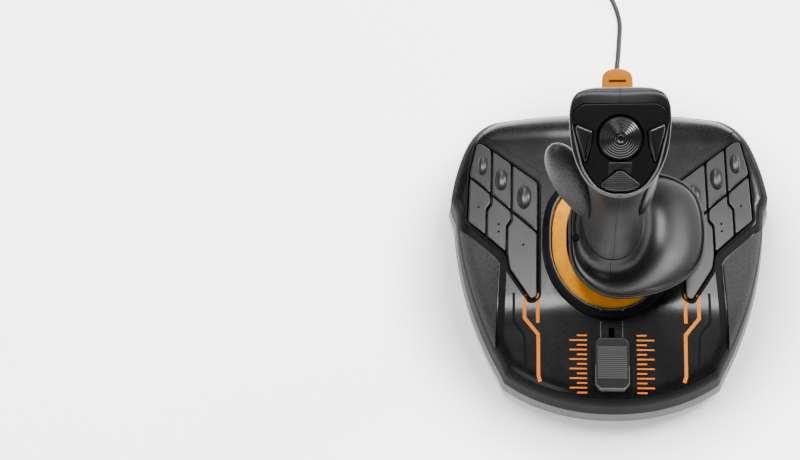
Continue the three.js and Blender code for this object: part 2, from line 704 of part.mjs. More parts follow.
function addGrip() {
  const plate = 2.4;
  const faceCut = solid(inFace(facePlate(inset(FACE_OUTLINE, -GAP), 20, -plate - GAP)));
  const inner = GRIP_SECTIONS.map(([share, ...rest]) => [mix(-0.02, 0.955, share), ...rest]);
  const underPlate = solid(inFace(facePlate(inset(FACE_OUTLINE, 1), -1, -30)));
  const hollow = gripFill(-GRIP_WALL, inner).intersect(underFace(plate + GRIP_WALL).add(underPlate));
  const slotHeight = 18;
  const slotSize = [TRIGGER_WIDTH + 2 * PLAY, 24, slotHeight];
  const slot = box(slotSize, [0, TRIGGER_AT[1] + 8, TRIGGER_AT[2] - 3]);
  const pinHole = rod(1.5 + GAP, 27, TRIGGER_AT, ALONG_X);
  const body = gripFill(0)
    .intersect(underFace(0))
    .subtract(faceCut)
    .subtract(hollow)
    .subtract(slot)
    .subtract(pinHole)
    .subtract(buttonRoom(1))
    .subtract(buttonRoom(-1));
  for (const side of sides) {
    const half = box([80, 160, 300], [side * (40 + GAP / 2), 0, NECK_Z + 60]);
    piece(`grip_shell_${sideName(side)}`, body.intersect(half), MATTE_BLACK, stick);
  }
  piece('trigger_pin', rod(1.5, 26, TRIGGER_AT, ALONG_X, 12), STEEL, stick);
  piece('trigger_switch', box([9, 6, 10], [0, TRIGGER_AT[1] - 10, TRIGGER_AT[2] - 14]), BOARD, stick);
  const boss = rod(1.5 + PLAY / 2, 40, TRIGGER_AT, ALONG_X);
  piece('trigger', triggerSolid(0).subtract(boss), AMBER, stick);
}

function addFace() {
  const hatHole = placed(new THREE.CylinderGeometry(HAT_RADIUS + 1.5, HAT_RADIUS + 1.5, 30, 28), [0, 0, 0], UPRIGHT);
  let plate = solid(facePlate(FACE_OUTLINE, 0.4, -2.4)).subtract(solid(hatHole));
  const cuts = [...sides.map((s) => onSide(BUTTON_OUTLINE, s)), onSide(FAN_OUTLINE, 1)];
  cuts.forEach((plan) => {
    plate = plate.subtract(solid(facePlate(inset(plan, -0.5), 20, -20)));
  });
  piece('head_face', plate, MATTE_BLACK, face);
  const names = ['button_right', 'button_left', 'button_fan'];
  cuts.forEach((plan, i) => {
    const low = solid(facePlate(plan, 1.4, -BUTTON_DEPTH));
    piece(names[i], low.add(solid(facePlate(inset(plan, 1), 2.2, 0))), GLOSS_BLACK, face);
  });
  const steps = [[0, 6.6], [3, 6.4], [3.6, 5.4], [5.2, 5.2], [5.6, 4.4], [7.2, 4.2], [7.6, 3.4], [9.2, 3.2], [9.8, 2.2], [11.5, 1.4], [11.5, -0.2], [3, -0.2], [3, -6], [0, -6]];
  const hat = new THREE.LatheGeometry(steps.map(([r, z]) => new THREE.Vector2((r * HAT_RADIUS) / 11.5, z)), 20);
  piece('hat_cap', solid(placed(hat, [0, 0, 0], UPRIGHT)), MATTE_BLACK, face);
  piece('hat_rocker', rod(6, 3, [0, 0, -8.2], UPRIGHT), STEEL, face);
  piece('grip_board', box([30, 26, 1.6], [0, 0, -14]), BOARD, face);
}

// The palm rest's outline, clockwise from its right side.
const SHELF_POINTS = [[56.5, -3], [50, -27], [26, -42.5], [-3, -45], [-22, -30], [-26, -6], [-22, 20], [2, 37], [32, 37], [51.5, 24]];

function addPalmRest() {
  const curve = new THREE.CatmullRomCurve3(SHELF_POINTS.map(([x, y]) => new THREE.Vector3(x, y, 0)), true);
  const rim = curve.getPoints(30).slice(0, -1).map((p) => [p.x, p.y]);
  const [, half, user, far] = GRIP_SECTIONS[0];
  const angles = rim.map(([x, y]) => Math.atan2(y, x));
  const neck = angles.map((angle) => {
    const [c, s] = [Math.cos(angle), Math.sin(angle)];
    const radius = (Math.abs(c / half) ** 2.2 + Math.abs(s / (s > 0 ? far : user)) ** 2.2) ** (-1 / 2.2);
    return [radius * c, radius * s];
  });
  const bore = (radius) => angles.map((a) => [radius * Math.cos(a), radius * Math.sin(a)]);
  const between = (t) => rim.map(([x, y], i) => [mix(x, neck[i][0], t), mix(y, neck[i][1], t)]);
  const boreRadius = SHAFT_RADIUS + PLAY;
  const shelf = loft(
    [
      lift(inset(rim, 3), SHELF_Z),
      lift(rim, SHELF_Z + 3),
      lift(inset(rim, 1), SHELF_Z + 5.5),
      lift(between(0.2), SHELF_Z + 4.3),
      lift(between(0.55), SHELF_Z + 5.5),
      lift(between(0.85), SHELF_Z + 10.5),
      lift(neck, NECK_Z - GAP),
      lift(bore(boreRadius), NECK_Z - GAP),
      lift(bore(boreRadius), SHELF_Z - 5),
      lift(bore(16), SHELF_Z - 5),
    ],
    true,
  );
  const screwAt = [-21.6, -7, SHELF_Z + 5];
  piece('palm_rest', shelf.subtract(rod(2.2 + GAP, 12, screwAt, UPRIGHT, 12)), MATTE_BLACK, stick);
  piece('palm_screw', rod(2.2, 8, [screwAt[0], screwAt[1], SHELF_Z + 3], UPRIGHT, 12), STEEL, stick);
}

// An ellipsoid that is broader at its top, turned and placed.
function pebble([x, y, z], broader, at, turn) {
  const ball = new THREE.SphereGeometry(1, 16, 10).rotateX(Math.PI / 2);
  const points = ball.attributes.position;
  for (let i = 0; i < points.count; i++) {
    const h = points.getZ(i);
    const wide = 1 + broader * h;
    points.setXYZ(i, x * wide * points.getX(i), y * wide * points.getY(i), z * h);
  }
  return solid(placed(ball, at, turn));
}

function addFlanks() {
  const keepOff = gripFill(GAP);
  const rest = pebble([10.5, 9.5, 32], 0.22, [-24.5, 2, mix(NECK_Z, HEAD_Z, 0.38)], [-0.28, -0.36, 0]);
  piece('thumb_rest', rest.subtract(keepOff), GRAINED, stick);
  const leaf = pebble([5, 12, 31], -0.1, [17.6, 1, mix(NECK_Z, HEAD_Z, 0.41)], [-0.12, 0.14, 0]);
  piece('side_cover', leaf.subtract(keepOff), MATTE_BLACK, stick);
}

// ---- Cord ----

function addCord() {
  const r = CORD_DIAMETER / 2;
  const exit = [0, 1.5, CORD_POINTS[0][2]];
  const gland = new THREE.LatheGeometry(
    [[0, -6], [r + 2, -6], [r + 2, 1], [r + 1, 6.4], [0, 6.4]].map(([a, b]) => new THREE.Vector2(a, b)),
    16,
  );
  piece('cable_gland', solid(placed(gland, exit)), RUBBER, lead);

  const path = new THREE.CatmullRomCurve3(CORD_POINTS.map((p) => new THREE.Vector3(...p)));
  const section = new THREE.Shape(regular(r, 8));
  const tube = new THREE.ExtrudeGeometry(section, { steps: 22, extrudePath: path, bevelEnabled: false });
  const wide = (COIL_TURNS_WIDE * CORD_DIAMETER) / 2;
  const high = COIL_TURNS_HIGH * CORD_DIAMETER;
  const coilAt = [...COIL_AT, COIL_FLOOR];
  const ring = (grow) => {
    const [a, b] = [COIL_RADIUS - wide - grow, COIL_RADIUS + wide + grow];
    const corners = [[a, -grow], [b, -grow], [b, high + grow], [a, high + grow], [a, -grow]];
    const turned = new THREE.LatheGeometry(corners.map(([x, y]) => new THREE.Vector2(x, y)), 36);
    return solid(placed(turned, coilAt, UPRIGHT));
  };
  piece('usb_cable', solid(tube).subtract(ring(GAP)), RUBBER, lead);
  piece('cable_coil', ring(0), RUBBER, lead);

  const tie = box([2 * wide + 3, 7, high + 2.4], [COIL_AT[0] + COIL_RADIUS, COIL_AT[1], COIL_FLOOR + high / 2]);
  const inside = box([2 * wide + 1.2, 9, high + 0.7], [COIL_AT[0] + COIL_RADIUS, COIL_AT[1], COIL_FLOOR + high / 2]);
  piece('cable_tie', tie.subtract(inside), RUBBER, lead);

  const plugX = COIL_AT[0] - COIL_RADIUS - wide + r;
  const plugY = COIL_AT[1] + 16;
  const plugZ = 4.6;
  const relief = new THREE.LatheGeometry(
    [[0, 0], [2.4, 0], [3.4, 16.5], [0, 16.5]].map(([a, b]) => new THREE.Vector2(a, b)),
    16,
  );
  const handle = box([15, 22, 8], [plugX, plugY + 27, plugZ]);
  const plug = solid(placed(relief, [plugX, plugY, plugZ])).add(handle).subtract(ring(GAP));
  piece('usb_plug_body', plug, RUBBER, lead);
  const shell = box([12, 13, 4.5], [plugX, plugY + 38 + GAP + 6.5, plugZ]);
  const mouth = box([11.2, 10, 3.7], [plugX, plugY + 38 + GAP + 8.6, plugZ]);
  piece('usb_plug_shell', shell.subtract(mouth), STEEL, lead);
}

addBase();
addWings();
sides.forEach(addKeys);
addSocket();
addThrottle();
addBoards();
addGimbal();
addGrip();
addFace();
addPalmRest();
addFlanks();
addCord();

export default object;
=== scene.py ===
"""A desk flight joystick: fine shells, keys, grip, switches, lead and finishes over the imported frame.

Units are metres, +Z is up, and the user sits on the -Y side.
"""

import json
import math

import bmesh
import bpy
from bpy.props import FloatProperty, FloatVectorProperty, IntProperty, PointerProperty
from mathutils import Matrix, Vector


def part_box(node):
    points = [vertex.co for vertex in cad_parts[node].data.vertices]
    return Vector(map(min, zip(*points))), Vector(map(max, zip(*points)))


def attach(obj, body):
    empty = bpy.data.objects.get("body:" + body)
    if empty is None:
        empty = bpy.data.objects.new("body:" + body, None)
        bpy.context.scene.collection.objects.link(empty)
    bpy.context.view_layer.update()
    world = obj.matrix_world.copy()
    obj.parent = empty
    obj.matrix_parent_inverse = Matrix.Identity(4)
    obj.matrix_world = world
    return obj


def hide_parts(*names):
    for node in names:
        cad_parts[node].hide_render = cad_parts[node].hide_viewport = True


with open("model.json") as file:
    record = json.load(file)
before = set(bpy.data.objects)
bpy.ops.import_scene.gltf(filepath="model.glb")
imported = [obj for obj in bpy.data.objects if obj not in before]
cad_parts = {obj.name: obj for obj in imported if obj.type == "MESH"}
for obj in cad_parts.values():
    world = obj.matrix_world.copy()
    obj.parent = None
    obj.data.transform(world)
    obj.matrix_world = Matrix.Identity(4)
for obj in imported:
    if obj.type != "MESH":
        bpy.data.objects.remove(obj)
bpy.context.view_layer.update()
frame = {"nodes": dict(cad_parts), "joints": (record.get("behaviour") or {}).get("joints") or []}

bl_info = {
    "name": "Flight joystick",
    "version": (1, 0, 0),
    "blender": (4, 5, 0),
    "location": "View3D > Sidebar > Joystick",
    "description": "Builds the shells, keys, grip, switches and lead of a desk flight joystick",
    "category": "Object",
}

MM = 0.001
SIDES = (("left", -1), ("right", 1))


# ---- Sizes read from the frame ----


def low(node):
    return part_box(node)[0]


def high(node):
    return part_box(node)[1]


def joint(name):
    return next(j for j in frame["joints"] if j["name"] == name)


HALF_WIDTH = high("base_pan")[0]
HALF_DEPTH = high("base_pan")[1]
PAN_TOP = high("base_pan")[2]
PIVOT = Vector(joint("stick_pitch")["pos_m"])
HEAD_TOP = high("grip_shell_left")[2]
NECK = low("grip_shell_left")[2]
SHELF = low("palm_rest")[2] + 5 * MM
PRESS = joint("button_fan_press")["axis"]
FACE_TILT = math.atan2(PRESS[1], -PRESS[2])
FACE_CENTRE = Vector((0, PIVOT.y, HEAD_TOP - 13 * MM))
TO_FACE = Matrix.Translation(FACE_CENTRE) @ Matrix.Rotation(FACE_TILT, 4, "X")
CORD_RADIUS = 1.75 * MM
CORD_EXIT_Z = 11 * MM
SHELL_WALL = 2.5 * MM
SEAT = PAN_TOP + 0.3 * MM  # where the upper shell stands on the lower one
ABOVE_ALL = 0.09  # a height over every part of the base, for cutters


class JoystickSizes(bpy.types.PropertyGroup):
    """Sizes of the surface details, which a user may change"""

    plateau: FloatProperty(
        name="Plateau",
        description="Height of the upper shell's flat middle above the table",
        default=0.047,
        subtype="DISTANCE",
    )
    key_raise: FloatProperty(
        name="Key height",
        description="How far a key stands out of the upper shell",
        default=0.0016,
        subtype="DISTANCE",
    )
    ticks: IntProperty(
        name="Ticks",
        description="Number of printed ticks on each side of the throttle slider",
        default=13,
        min=3,
    )
    ribs: IntProperty(
        name="Slider ribs",
        description="Number of ribs across the throttle slider's cap",
        default=17,
        min=3,
    )
    hat_steps: IntProperty(
        name="Hat steps",
        description="Number of rings that step up to the hat switch's knob",
        default=6,
        min=2,
    )
    coil_turns: IntProperty(
        name="Coil turns",
        description="Number of turns of the lead in the tied coil",
        default=12,
        min=3,
    )


class JoystickColours(bpy.types.PropertyGroup):
    """Colours of the finishes, which a user may change"""

    shell: FloatVectorProperty(
        name="Upper shell",
        description="Glossy black of the upper shell",
        default=(0.0035, 0.0035, 0.0038),
        subtype="COLOR",
    )
    rim: FloatVectorProperty(
        name="Lower shell",
        description="Satin grey of the lower shell",
        default=(0.085, 0.087, 0.09),
        subtype="COLOR",
    )
    keys: FloatVectorProperty(
        name="Keys",
        description="Dark grey of the keys",
        default=(0.013, 0.0133, 0.014),
        subtype="COLOR",
    )
    grip: FloatVectorProperty(
        name="Grip",
        description="Black of the grip",
        default=(0.005, 0.005, 0.0053),
        subtype="COLOR",
    )
    amber: FloatVectorProperty(
        name="Amber",
        description="Amber of the ring and the trigger",
        default=(0.8, 0.24, 0.004),
        subtype="COLOR",
    )
    print: FloatVectorProperty(
        name="Printed lines",
        description="Orange of the printed lines and ticks",
        default=(0.95, 0.33, 0.008),
        subtype="COLOR",
    )


def sizes():
    return bpy.context.scene.joystick_sizes


def colours():
    return bpy.context.scene.joystick_colours


# ---- Plan shapes of the base ----


def quadratic(a, b, c, count):
    points = []
    for i in range(count):
        t = i / count
        points.append(tuple((1 - t) ** 2 * p + 2 * t * (1 - t) * q + t * t * r for p, q, r in zip(a, b, c)))
    return points


def cubic(a, b, c, d, count):
    points = []
    for i in range(count):
        t = i / count
        u = 1 - t
        points.append(
            tuple(
                u**3 * p + 3 * u * u * t * q + 3 * u * t * t * r + t**3 * s
                for p, q, r, s in zip(a, b, c, d)
            )
        )
    return points


def base_outline(count=20):
    """The base's outline from the rear, clockwise."""
    w, d = HALF_WIDTH, HALF_DEPTH
    right = quadratic((0, d), (0.46 * w, d), (0.72 * w, 0.94 * d), count)
    right += cubic((0.72 * w, 0.94 * d), (0.86 * w, 0.88 * d), (0.97 * w, 0.62 * d), (w, 0.33 * d), count)
    right += quadratic((w, 0.33 * d), (0.985 * w, 0.282 * d), (0.965 * w, 0.235 * d), 3)
    right += quadratic((0.965 * w, 0.235 * d), (0.92 * w, -0.3 * d), (0.68 * w, -0.735 * d), count)
    right += quadratic((0.68 * w, -0.735 * d), (0.6625 * w, -0.772 * d), (0.645 * w, -0.81 * d), 3)
    right += quadratic((0.645 * w, -0.81 * d), (0.38 * w, -d), (0, -d), count)
    left = [(-x, y) for x, y in right[1:]][::-1]
    return right + [(0, -d)] + left


def inset(points, amount):
    """Moves each point of a clockwise outline inwards."""
    n = len(points)
    moved = []
    for i, (x, y) in enumerate(points):
        px, py = points[i - 1]
        qx, qy = points[(i + 1) % n]
        before = Vector((y - py, px - x)).normalized()
        after = Vector((qy - y, x - qx)).normalized()
        inward = (before + after).normalized()
        reach = amount / max(inward.dot(before), 0.5)
        moved.append((x + inward.x * reach, y + inward.y * reach))
    return moved


def mix(a, b, t):
    return a + (b - a) * t


def ramp(t, width):
    if t < -width:
        return 0.0
    return t if t > width else (t + width) ** 2 / (4 * width)


SIDE_FROM = 30 * MM
SIDE_SLOPE = 0.1
FRONT_FROM = -44 * MM
FRONT_SLOPE = 0.24
REAR_SLOPE = 0.03
REAR_FROM = 72 * MM
REAR_DROP = 18 * MM
EDGE_INSET = 3.2 * MM
EDGE_DROP = 5 * MM


def cover_z(x, y):
    """Height of the upper shell away from its rounded edge."""
    rear = max(0.0, (y - REAR_FROM) / (HALF_DEPTH - REAR_FROM))
    return (
        sizes().plateau
        - SIDE_SLOPE * ramp(abs(x) - SIDE_FROM, 12 * MM)
        - FRONT_SLOPE * ramp(FRONT_FROM - y, 6 * MM)
        - REAR_SLOPE * ramp(y - FRONT_FROM, 6 * MM)
        - REAR_DROP * rear**2
    )


def pod_z(x, y):
    """Height of the plane that the keys lie in."""
    return sizes().plateau - SIDE_SLOPE * (abs(x) - SIDE_FROM) - REAR_SLOPE * (y - FRONT_FROM)


SOCKET_SIDE = 36 * MM
SOCKET_USER = 44 * MM
SOCKET_FAR = 40 * MM
BEZEL_WIDTH = 6 * MM


def socket_point(angle, grow=0.0):
    """A point of the stick's socket outline, grown by an amount, at an angle about the stick."""
    c, s = math.cos(angle), math.sin(angle)
    power = 3.2 if s > 0 else 2.0
    reach = (SOCKET_FAR if s > 0 else SOCKET_USER) + grow
    radius = (abs(c / (SOCKET_SIDE + grow)) ** power + abs(s / reach) ** power) ** (-1 / power)
    return (radius * c, PIVOT.y + radius * s)


POD_INNER = SOCKET_SIDE + BEZEL_WIDTH + 3 * MM
POD_OUTER = HALF_WIDTH - 15.5 * MM
COLUMNS = [mix(POD_INNER, POD_OUTER, t) for t in (0, 0.38, 0.68, 1)]
KEY_GAP = 0.9 * MM
JOG = 2.8 * MM
POD_CORNER = COLUMNS[1] + JOG
ROW_SLOPE = 0.976


def row_y(x):
    return 5 * MM + ROW_SLOPE * (x - POD_INNER)


def far_y(x):
    return row_y(x) + 36 * MM - 0.11 * (x - POD_INNER)


def near_y(x):
    return row_y(x) - 32 * MM


def pod_outline():
    """The right-hand pod of keys in plan."""
    tip = POD_INNER + 4 * MM
    return [
        (POD_INNER, far_y(POD_INNER)),
        (POD_OUTER - 8 * MM, far_y(POD_OUTER - 8 * MM)),
        (POD_OUTER - 4 * MM, far_y(POD_OUTER - 4 * MM) - 2.6 * MM),
        (POD_OUTER, row_y(POD_OUTER) + 4 * MM),
        (POD_OUTER + 0.8 * MM, near_y(POD_OUTER + 0.8 * MM)),
        (POD_CORNER, near_y(POD_CORNER)),
        (POD_CORNER - 2 * MM, near_y(POD_CORNER - 2 * MM) - 9 * MM),
        (tip, near_y(POD_INNER) - 14 * MM),
        (POD_INNER, near_y(POD_INNER) - 12 * MM),
    ]


def key_outline(number):
    """A right-hand key in plan: 1 to 3 are the far row, 4 to 6 the near row."""
    column = (number - 1) % 3
    g = KEY_GAP / 2
    a = COLUMNS[column] + (g if column else 0)
    b = COLUMNS[column + 1] - (g if column < 2 else 0)
    if number == 3:
        return [
            (a, row_y(a) + g),
            (a, far_y(a)),
            (b - 8 * MM, far_y(b - 8 * MM)),
            (b - 4 * MM, far_y(b - 4 * MM) - 2.6 * MM),
            (b, row_y(b) + 4 * MM),
            (b - 0.3 * MM, row_y(b) + g),
        ]
    if number < 3:
        return [(a, row_y(a) + g), (a, far_y(a)), (b, far_y(b)), (b, row_y(b) + g)]
    inner = stepped(a)[::-1] if column else [(a, near_y(a) - 12 * MM), (a, row_y(a) - g)]
    outer = stepped(b) if column < 2 else [(b, row_y(b) - g), (b + 0.5 * MM, near_y(b))]
    tail = []
    if number == 4:
        corner = POD_CORNER - 2 * MM
        tail = [(corner, near_y(corner) - 9 * MM), (a + 4 * MM, near_y(a) - 14 * MM)]
    return inner + outer + tail


def stepped(x):
    """The side of a near key, from the row's line towards the user, with a step outwards."""
    return [
        (x, row_y(x) - KEY_GAP / 2),
        (x, row_y(x) - 7 * MM),
        (x + JOG, row_y(x) - 10.5 * MM),
        (x + JOG, near_y(x + JOG)),
    ]


def bead_centre(number):
    x = (COLUMNS[number - 1] + COLUMNS[number]) / 2 - (1 * MM if number == 3 else 0)
    return (x, (row_y(x) + far_y(x)) / 2)


def on_side(points, side):
    """An outline mirrored to one side of the base, clockwise."""
    turned = [(side * x, y) for x, y in points]
    area = sum(a[0] * b[1] - b[0] * a[1] for a, b in zip(turned, turned[1:] + turned[:1]))
    return turned if area < 0 else turned[::-1]


def rounded(points, radius, count=4):
    """An outline with its corners rounded."""
    made = []
    n = len(points)
    for i in range(n):
        p, before, after = (Vector(points[k % n]) for k in (i, i - 1, i + 1))
        reach = min(radius, (before - p).length * 0.45, (after - p).length * 0.45)
        a = p + (before - p).normalized() * reach
        b = p + (after - p).normalized() * reach
        for k in range(count + 1):
            t = k / count
            made.append(tuple((1 - t) ** 2 * a + 2 * t * (1 - t) * p + t * t * b))
    return made


# ---- Mesh making ----


def mesh_object(name, points, faces, sharp=35):
    mesh = bpy.data.meshes.new(name)
    mesh.from_pydata([tuple(p) for p in points], [], faces)
    return finished(name, mesh, sharp)


def finished(name, mesh, sharp=35):
    """Merges doubles, faces the surface out and links it as an object."""
    work = bmesh.new()
    work.from_mesh(mesh)
    bmesh.ops.remove_doubles(work, verts=work.verts, dist=1e-6)
    bmesh.ops.dissolve_degenerate(work, edges=work.edges, dist=1e-6)
    bmesh.ops.recalc_face_normals(work, faces=work.faces)
    if work.calc_volume(signed=True) < 0:
        bmesh.ops.reverse_faces(work, faces=work.faces)
    work.to_mesh(mesh)
    work.free()
    smooth(mesh, sharp)
    made = bpy.data.objects.new(name, mesh)
    bpy.context.scene.collection.objects.link(made)
    return made


def smooth(mesh, sharp=35):
    mesh.shade_smooth()
    mesh.set_sharp_from_angle(angle=math.radians(sharp))


def loft(name, rings, closed=False, sharp=35):
    """Skins a stack of rings of equal length. An open stack gets flat ends."""
    count = len(rings[0])
    points = [p for ring in rings for p in ring]
    faces = []
    for r in range(len(rings) if closed else len(rings) - 1):
        a, b = r * count, ((r + 1) % len(rings)) * count
        for i in range(count):
            j = (i + 1) % count
            faces.append((a + i, a + j, b + j, b + i))
    if not closed:
        faces.append(tuple(range(count)))
        faces.append(tuple(range((len(rings) - 1) * count, len(rings) * count))[::-1])
    return mesh_object(name, points, faces, sharp)


def lift(points, z):
    return [(x, y, z(x, y) if callable(z) else z) for x, y in points]


def slab(name, outline, top, bottom, rim=0.0, steps=3, sharp=35, matrix=None, corner=0.0):
    """A plate between two heights, with its upper edge rounded, and its corners too if asked."""
    def level(value, x, y):
        return value(x, y) if callable(value) else value

    def around(reach):
        return rounded(inset(outline, reach), corner) if corner else inset(outline, reach)

    rings = [[(x, y, level(bottom, x, y)) for x, y in around(0.0)]]
    for k in range(steps + 1 if rim else 1):
        angle = math.pi / 2 * k / steps
        reach = rim * (1 - math.cos(angle))
        drop = rim * (1 - math.sin(angle))
        rings.append([(x, y, level(top, x, y) - drop) for x, y in around(reach)])
    if rim:
        rings.append([(x, y, level(top, x, y)) for x, y in around(rim + 0.35 * MM)])
    made = loft(name, rings, sharp=sharp)
    if matrix:
        made.data.transform(matrix)
    return made


def spun(name, profile, sides=64, matrix=None, sharp=30):
    """A turned piece from [radius, height] points that start and end on the axis."""
    rings = []
    for radius, z in profile[1:-1]:
        rings.append(
            [
                (radius * math.cos(2 * math.pi * i / sides), radius * math.sin(2 * math.pi * i / sides), z)
                for i in range(sides)
            ]
        )
    made = loft(name, rings, sharp=sharp)
    if matrix:
        made.data.transform(matrix)
        made.data.update()
    return made


def drilled(name, radius, reach, sides):
    """A round cutter that reaches as far below its middle as above."""
    return spun(name, [[0, -reach], [radius, -reach], [radius, reach], [0, reach]], sides)


def joined(name, pieces, sharp=35):
    """Several meshes as one piece."""
    work = bmesh.new()
    for piece in pieces:
        work.from_mesh(piece.data)
        bpy.data.objects.remove(piece)
    mesh = bpy.data.meshes.new(name)
    work.to_mesh(mesh)
    work.free()
    smooth(mesh, sharp)
    made = bpy.data.objects.new(name, mesh)
    bpy.context.scene.collection.objects.link(made)
    return made


def cut(piece, cutters, operation="DIFFERENCE", sharp=35, keep=False):
    """Cuts a piece with others, which are used up."""
    for cutter in cutters:
        modifier = piece.modifiers.new("cut", "BOOLEAN")
        modifier.object = cutter
        modifier.operation = operation
        modifier.solver = "EXACT"
        plain(piece, sharp)
        if not keep:
            bpy.data.objects.remove(cutter)
    return piece


def plain(piece, sharp=35):
    """Applies a piece's modifiers."""
    bpy.context.view_layer.update()
    graph = bpy.context.evaluated_depsgraph_get()
    mesh = bpy.data.meshes.new_from_object(piece.evaluated_get(graph))
    piece.modifiers.clear()
    old = piece.data
    piece.data = mesh
    bpy.data.meshes.remove(old)
    mesh.materials.clear()
    smooth(mesh, sharp)
    return piece


def bevelled(piece, width, segments=3, angle=35):
    modifier = piece.modifiers.new("bevel", "BEVEL")
    modifier.width = width
    modifier.segments = segments
    modifier.limit_method = "ANGLE"
    modifier.angle_limit = math.radians(angle)
    modifier.harden_normals = False
    return plain(piece, 40)


def box(name, centre, size, matrix=None):
    x, y, z = centre
    a, b, c = (v / 2 for v in size)
    outline = [(x - a, y - b), (x - a, y + b), (x + a, y + b), (x + a, y - b)]
    return slab(name, outline, z + c, z - c, matrix=matrix)


def settle(piece, body, slot, finish, *nodes):
    """Gives a piece its finish, hangs it from its body's empty and hides the frame's nodes that it stands
    for.
    """
    piece.data.materials.clear()
    piece.data.materials.append(finish)
    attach(piece, body)
    if nodes:
        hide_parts(*nodes)
    return piece


# ---- Finishes ----


class Wire:
    """A node socket that takes part in Python expressions."""

    def __init__(self, sheet, socket):
        self.sheet = sheet
        self.socket = socket

    def _maths(self, operation, *values):
        return self.sheet.add("ShaderNodeMath", {"operation": operation}, dict(enumerate(values)))

    def __add__(self, other):
        return self._maths("ADD", self, other)

    __radd__ = __add__

    def __sub__(self, other):
        return self._maths("SUBTRACT", self, other)

    def __rsub__(self, other):
        return self._maths("SUBTRACT", other, self)

    def __mul__(self, other):
        return self._maths("MULTIPLY", self, other)

    __rmul__ = __mul__

    def __truediv__(self, other):
        return self._maths("DIVIDE", self, other)

    def __gt__(self, other):
        return self._maths("GREATER_THAN", self, other)

    def power(self, other):
        return self._maths("POWER", self, other)


class Finish:
    """A material and its shader, filled in by expressions."""

    def __init__(self, name):
        self.material = bpy.data.materials.new(name)
        self.material.use_nodes = True
        self.tree = self.material.node_tree
        self.shader = self.tree.nodes["Principled BSDF"]

    def add(self, kind, settings=None, values=None, output=0):
        """Any node: its settings first, then the values or links of its sockets."""
        node = self.tree.nodes.new(kind)
        for key, value in (settings or {}).items():
            if key == "stops":
                ramp_stops(node.color_ramp, value)
            else:
                setattr(node, key, value)
        for key, value in (values or {}).items():
            self.feed(node.inputs[key], value)
        return Wire(self, node.outputs[output])

    def feed(self, socket, value):
        if isinstance(value, Wire):
            self.tree.links.new(value.socket, socket)
        else:
            socket.default_value = value

    def set(self, **values):
        """Sets or links the shader's sockets, named with underscores."""
        for key, value in values.items():
            name = " ".join(word.capitalize() for word in key.split("_")).replace("Ior", "IOR")
            self.feed(self.shader.inputs[name], value)
        return self

    def place(self, scale=1.0):
        """The object's own coordinates, scaled."""
        at = self.add("ShaderNodeTexCoord", output=3)
        return self.add("ShaderNodeMapping", values={"Vector": at, "Scale": (scale, scale, scale)})

    def noise(self, scale, detail=3.0, roughness=0.55, place=None):
        values = {"Vector": place or self.place(), "Scale": scale, "Detail": detail, "Roughness": roughness}
        return self.add("ShaderNodeTexNoise", values=values)

    def cells(self, scale, feature="F1", place=None):
        return self.add(
            "ShaderNodeTexVoronoi", {"feature": feature}, {"Vector": place or self.place(), "Scale": scale}
        )

    def blend(self, a, b, factor):
        """A mix of two colours."""
        settings = {"data_type": "RGBA"}
        values = {0: factor, 6: opaque(a), 7: opaque(b)}
        return self.add("ShaderNodeMix", settings, values, output=2)

    def bump(self, height, strength=0.3, distance=0.0002):
        values = {"Height": height, "Strength": strength, "Distance": distance}
        return self.add("ShaderNodeBump", values=values)


def ramp_stops(ramp_node, stops):
    while len(ramp_node.elements) > 1:
        ramp_node.elements.remove(ramp_node.elements[0])
    ramp_node.elements[0].position = stops[0][0]
    ramp_node.elements[0].color = opaque(stops[0][1])
    for position, colour in stops[1:]:
        ramp_node.elements.new(position).color = opaque(colour)


def opaque(colour):
    if isinstance(colour, Wire) or len(colour) == 4:
        return colour
    return (*colour, 1.0)


def shade(colour, share):
    return tuple(min(1.0, c * share) for c in colour)


def moulded(name, colour, roughness, grain=0.1, grain_scale=2500.0, coat=0.0, gloss=0.5):
    """Moulded plastic: a fine texture, faint mottling and patches of wear in its gloss."""
    finish = Finish(name)
    mottle = finish.noise(60.0, 4.0)
    fine = finish.noise(grain_scale, 2.0)
    tone = finish.blend(shade(colour, 0.82), shade(colour, 1.2), mottle)
    finish.set(
        base_color=tone,
        roughness=roughness + (mottle - 0.5) * 0.12 + (fine - 0.5) * 0.05,
        normal=finish.bump(fine, grain, 0.0001),
        coat_weight=coat,
        specular_ior_level=gloss,
    )
    return finish.material


def leathered_with_crease_shade(name, colour, roughness, scale, depth):
    """Plastic with a moulded leather grain: rounded pebbles with fine creases between, the creases painted
    darker and the pebbles lighter as painted shade and highlight.
    """
    finish = Finish(name)
    place = finish.place()
    warp = finish.noise(scale * 0.4, 2.0, place=place)
    pebbles = finish.cells(scale, place=place)
    small = finish.cells(scale * 2.3, place=place)
    height = pebbles * 0.7 + small * 0.3 + warp * 0.3
    # painted shade: darker in the creases between pebbles, lighter on the pebbles' middles
    tone = finish.blend(shade(colour, 1.25), shade(colour, 0.6), pebbles)
    finish.set(
        base_color=tone,
        roughness=roughness + (pebbles - 0.4) * 0.15,
        normal=finish.bump(1 - height, depth, 0.0003),
        specular_ior_level=0.25,
    )
    return finish.material


def amber_finish(name, facets=0.0, depth=1.0):
    """See-through amber plastic, mottled as it is over its ribbed light guide, with a faint painted glow."""
    finish = Finish(name)
    amber = shade(colours().amber, depth)
    place = finish.place()
    cloud = finish.noise(90.0, 3.0, place=place)
    cells = finish.cells(260.0, place=place)
    bright = shade((0.95, 0.38, 0.01), depth)
    tone = finish.blend(shade(amber, 0.85), bright, cloud * 0.9 + cells * 0.5 * facets)
    finish.set(
        base_color=tone,
        roughness=0.4 + cloud * 0.12,
        normal=finish.bump(cells + cloud, 0.25 * facets + 0.03, 0.0006),
        specular_ior_level=0.04,
        # a faint painted glow, though the part holds no lamp
        emission_color=tone,
        emission_strength=0.15,
    )
    return finish.material


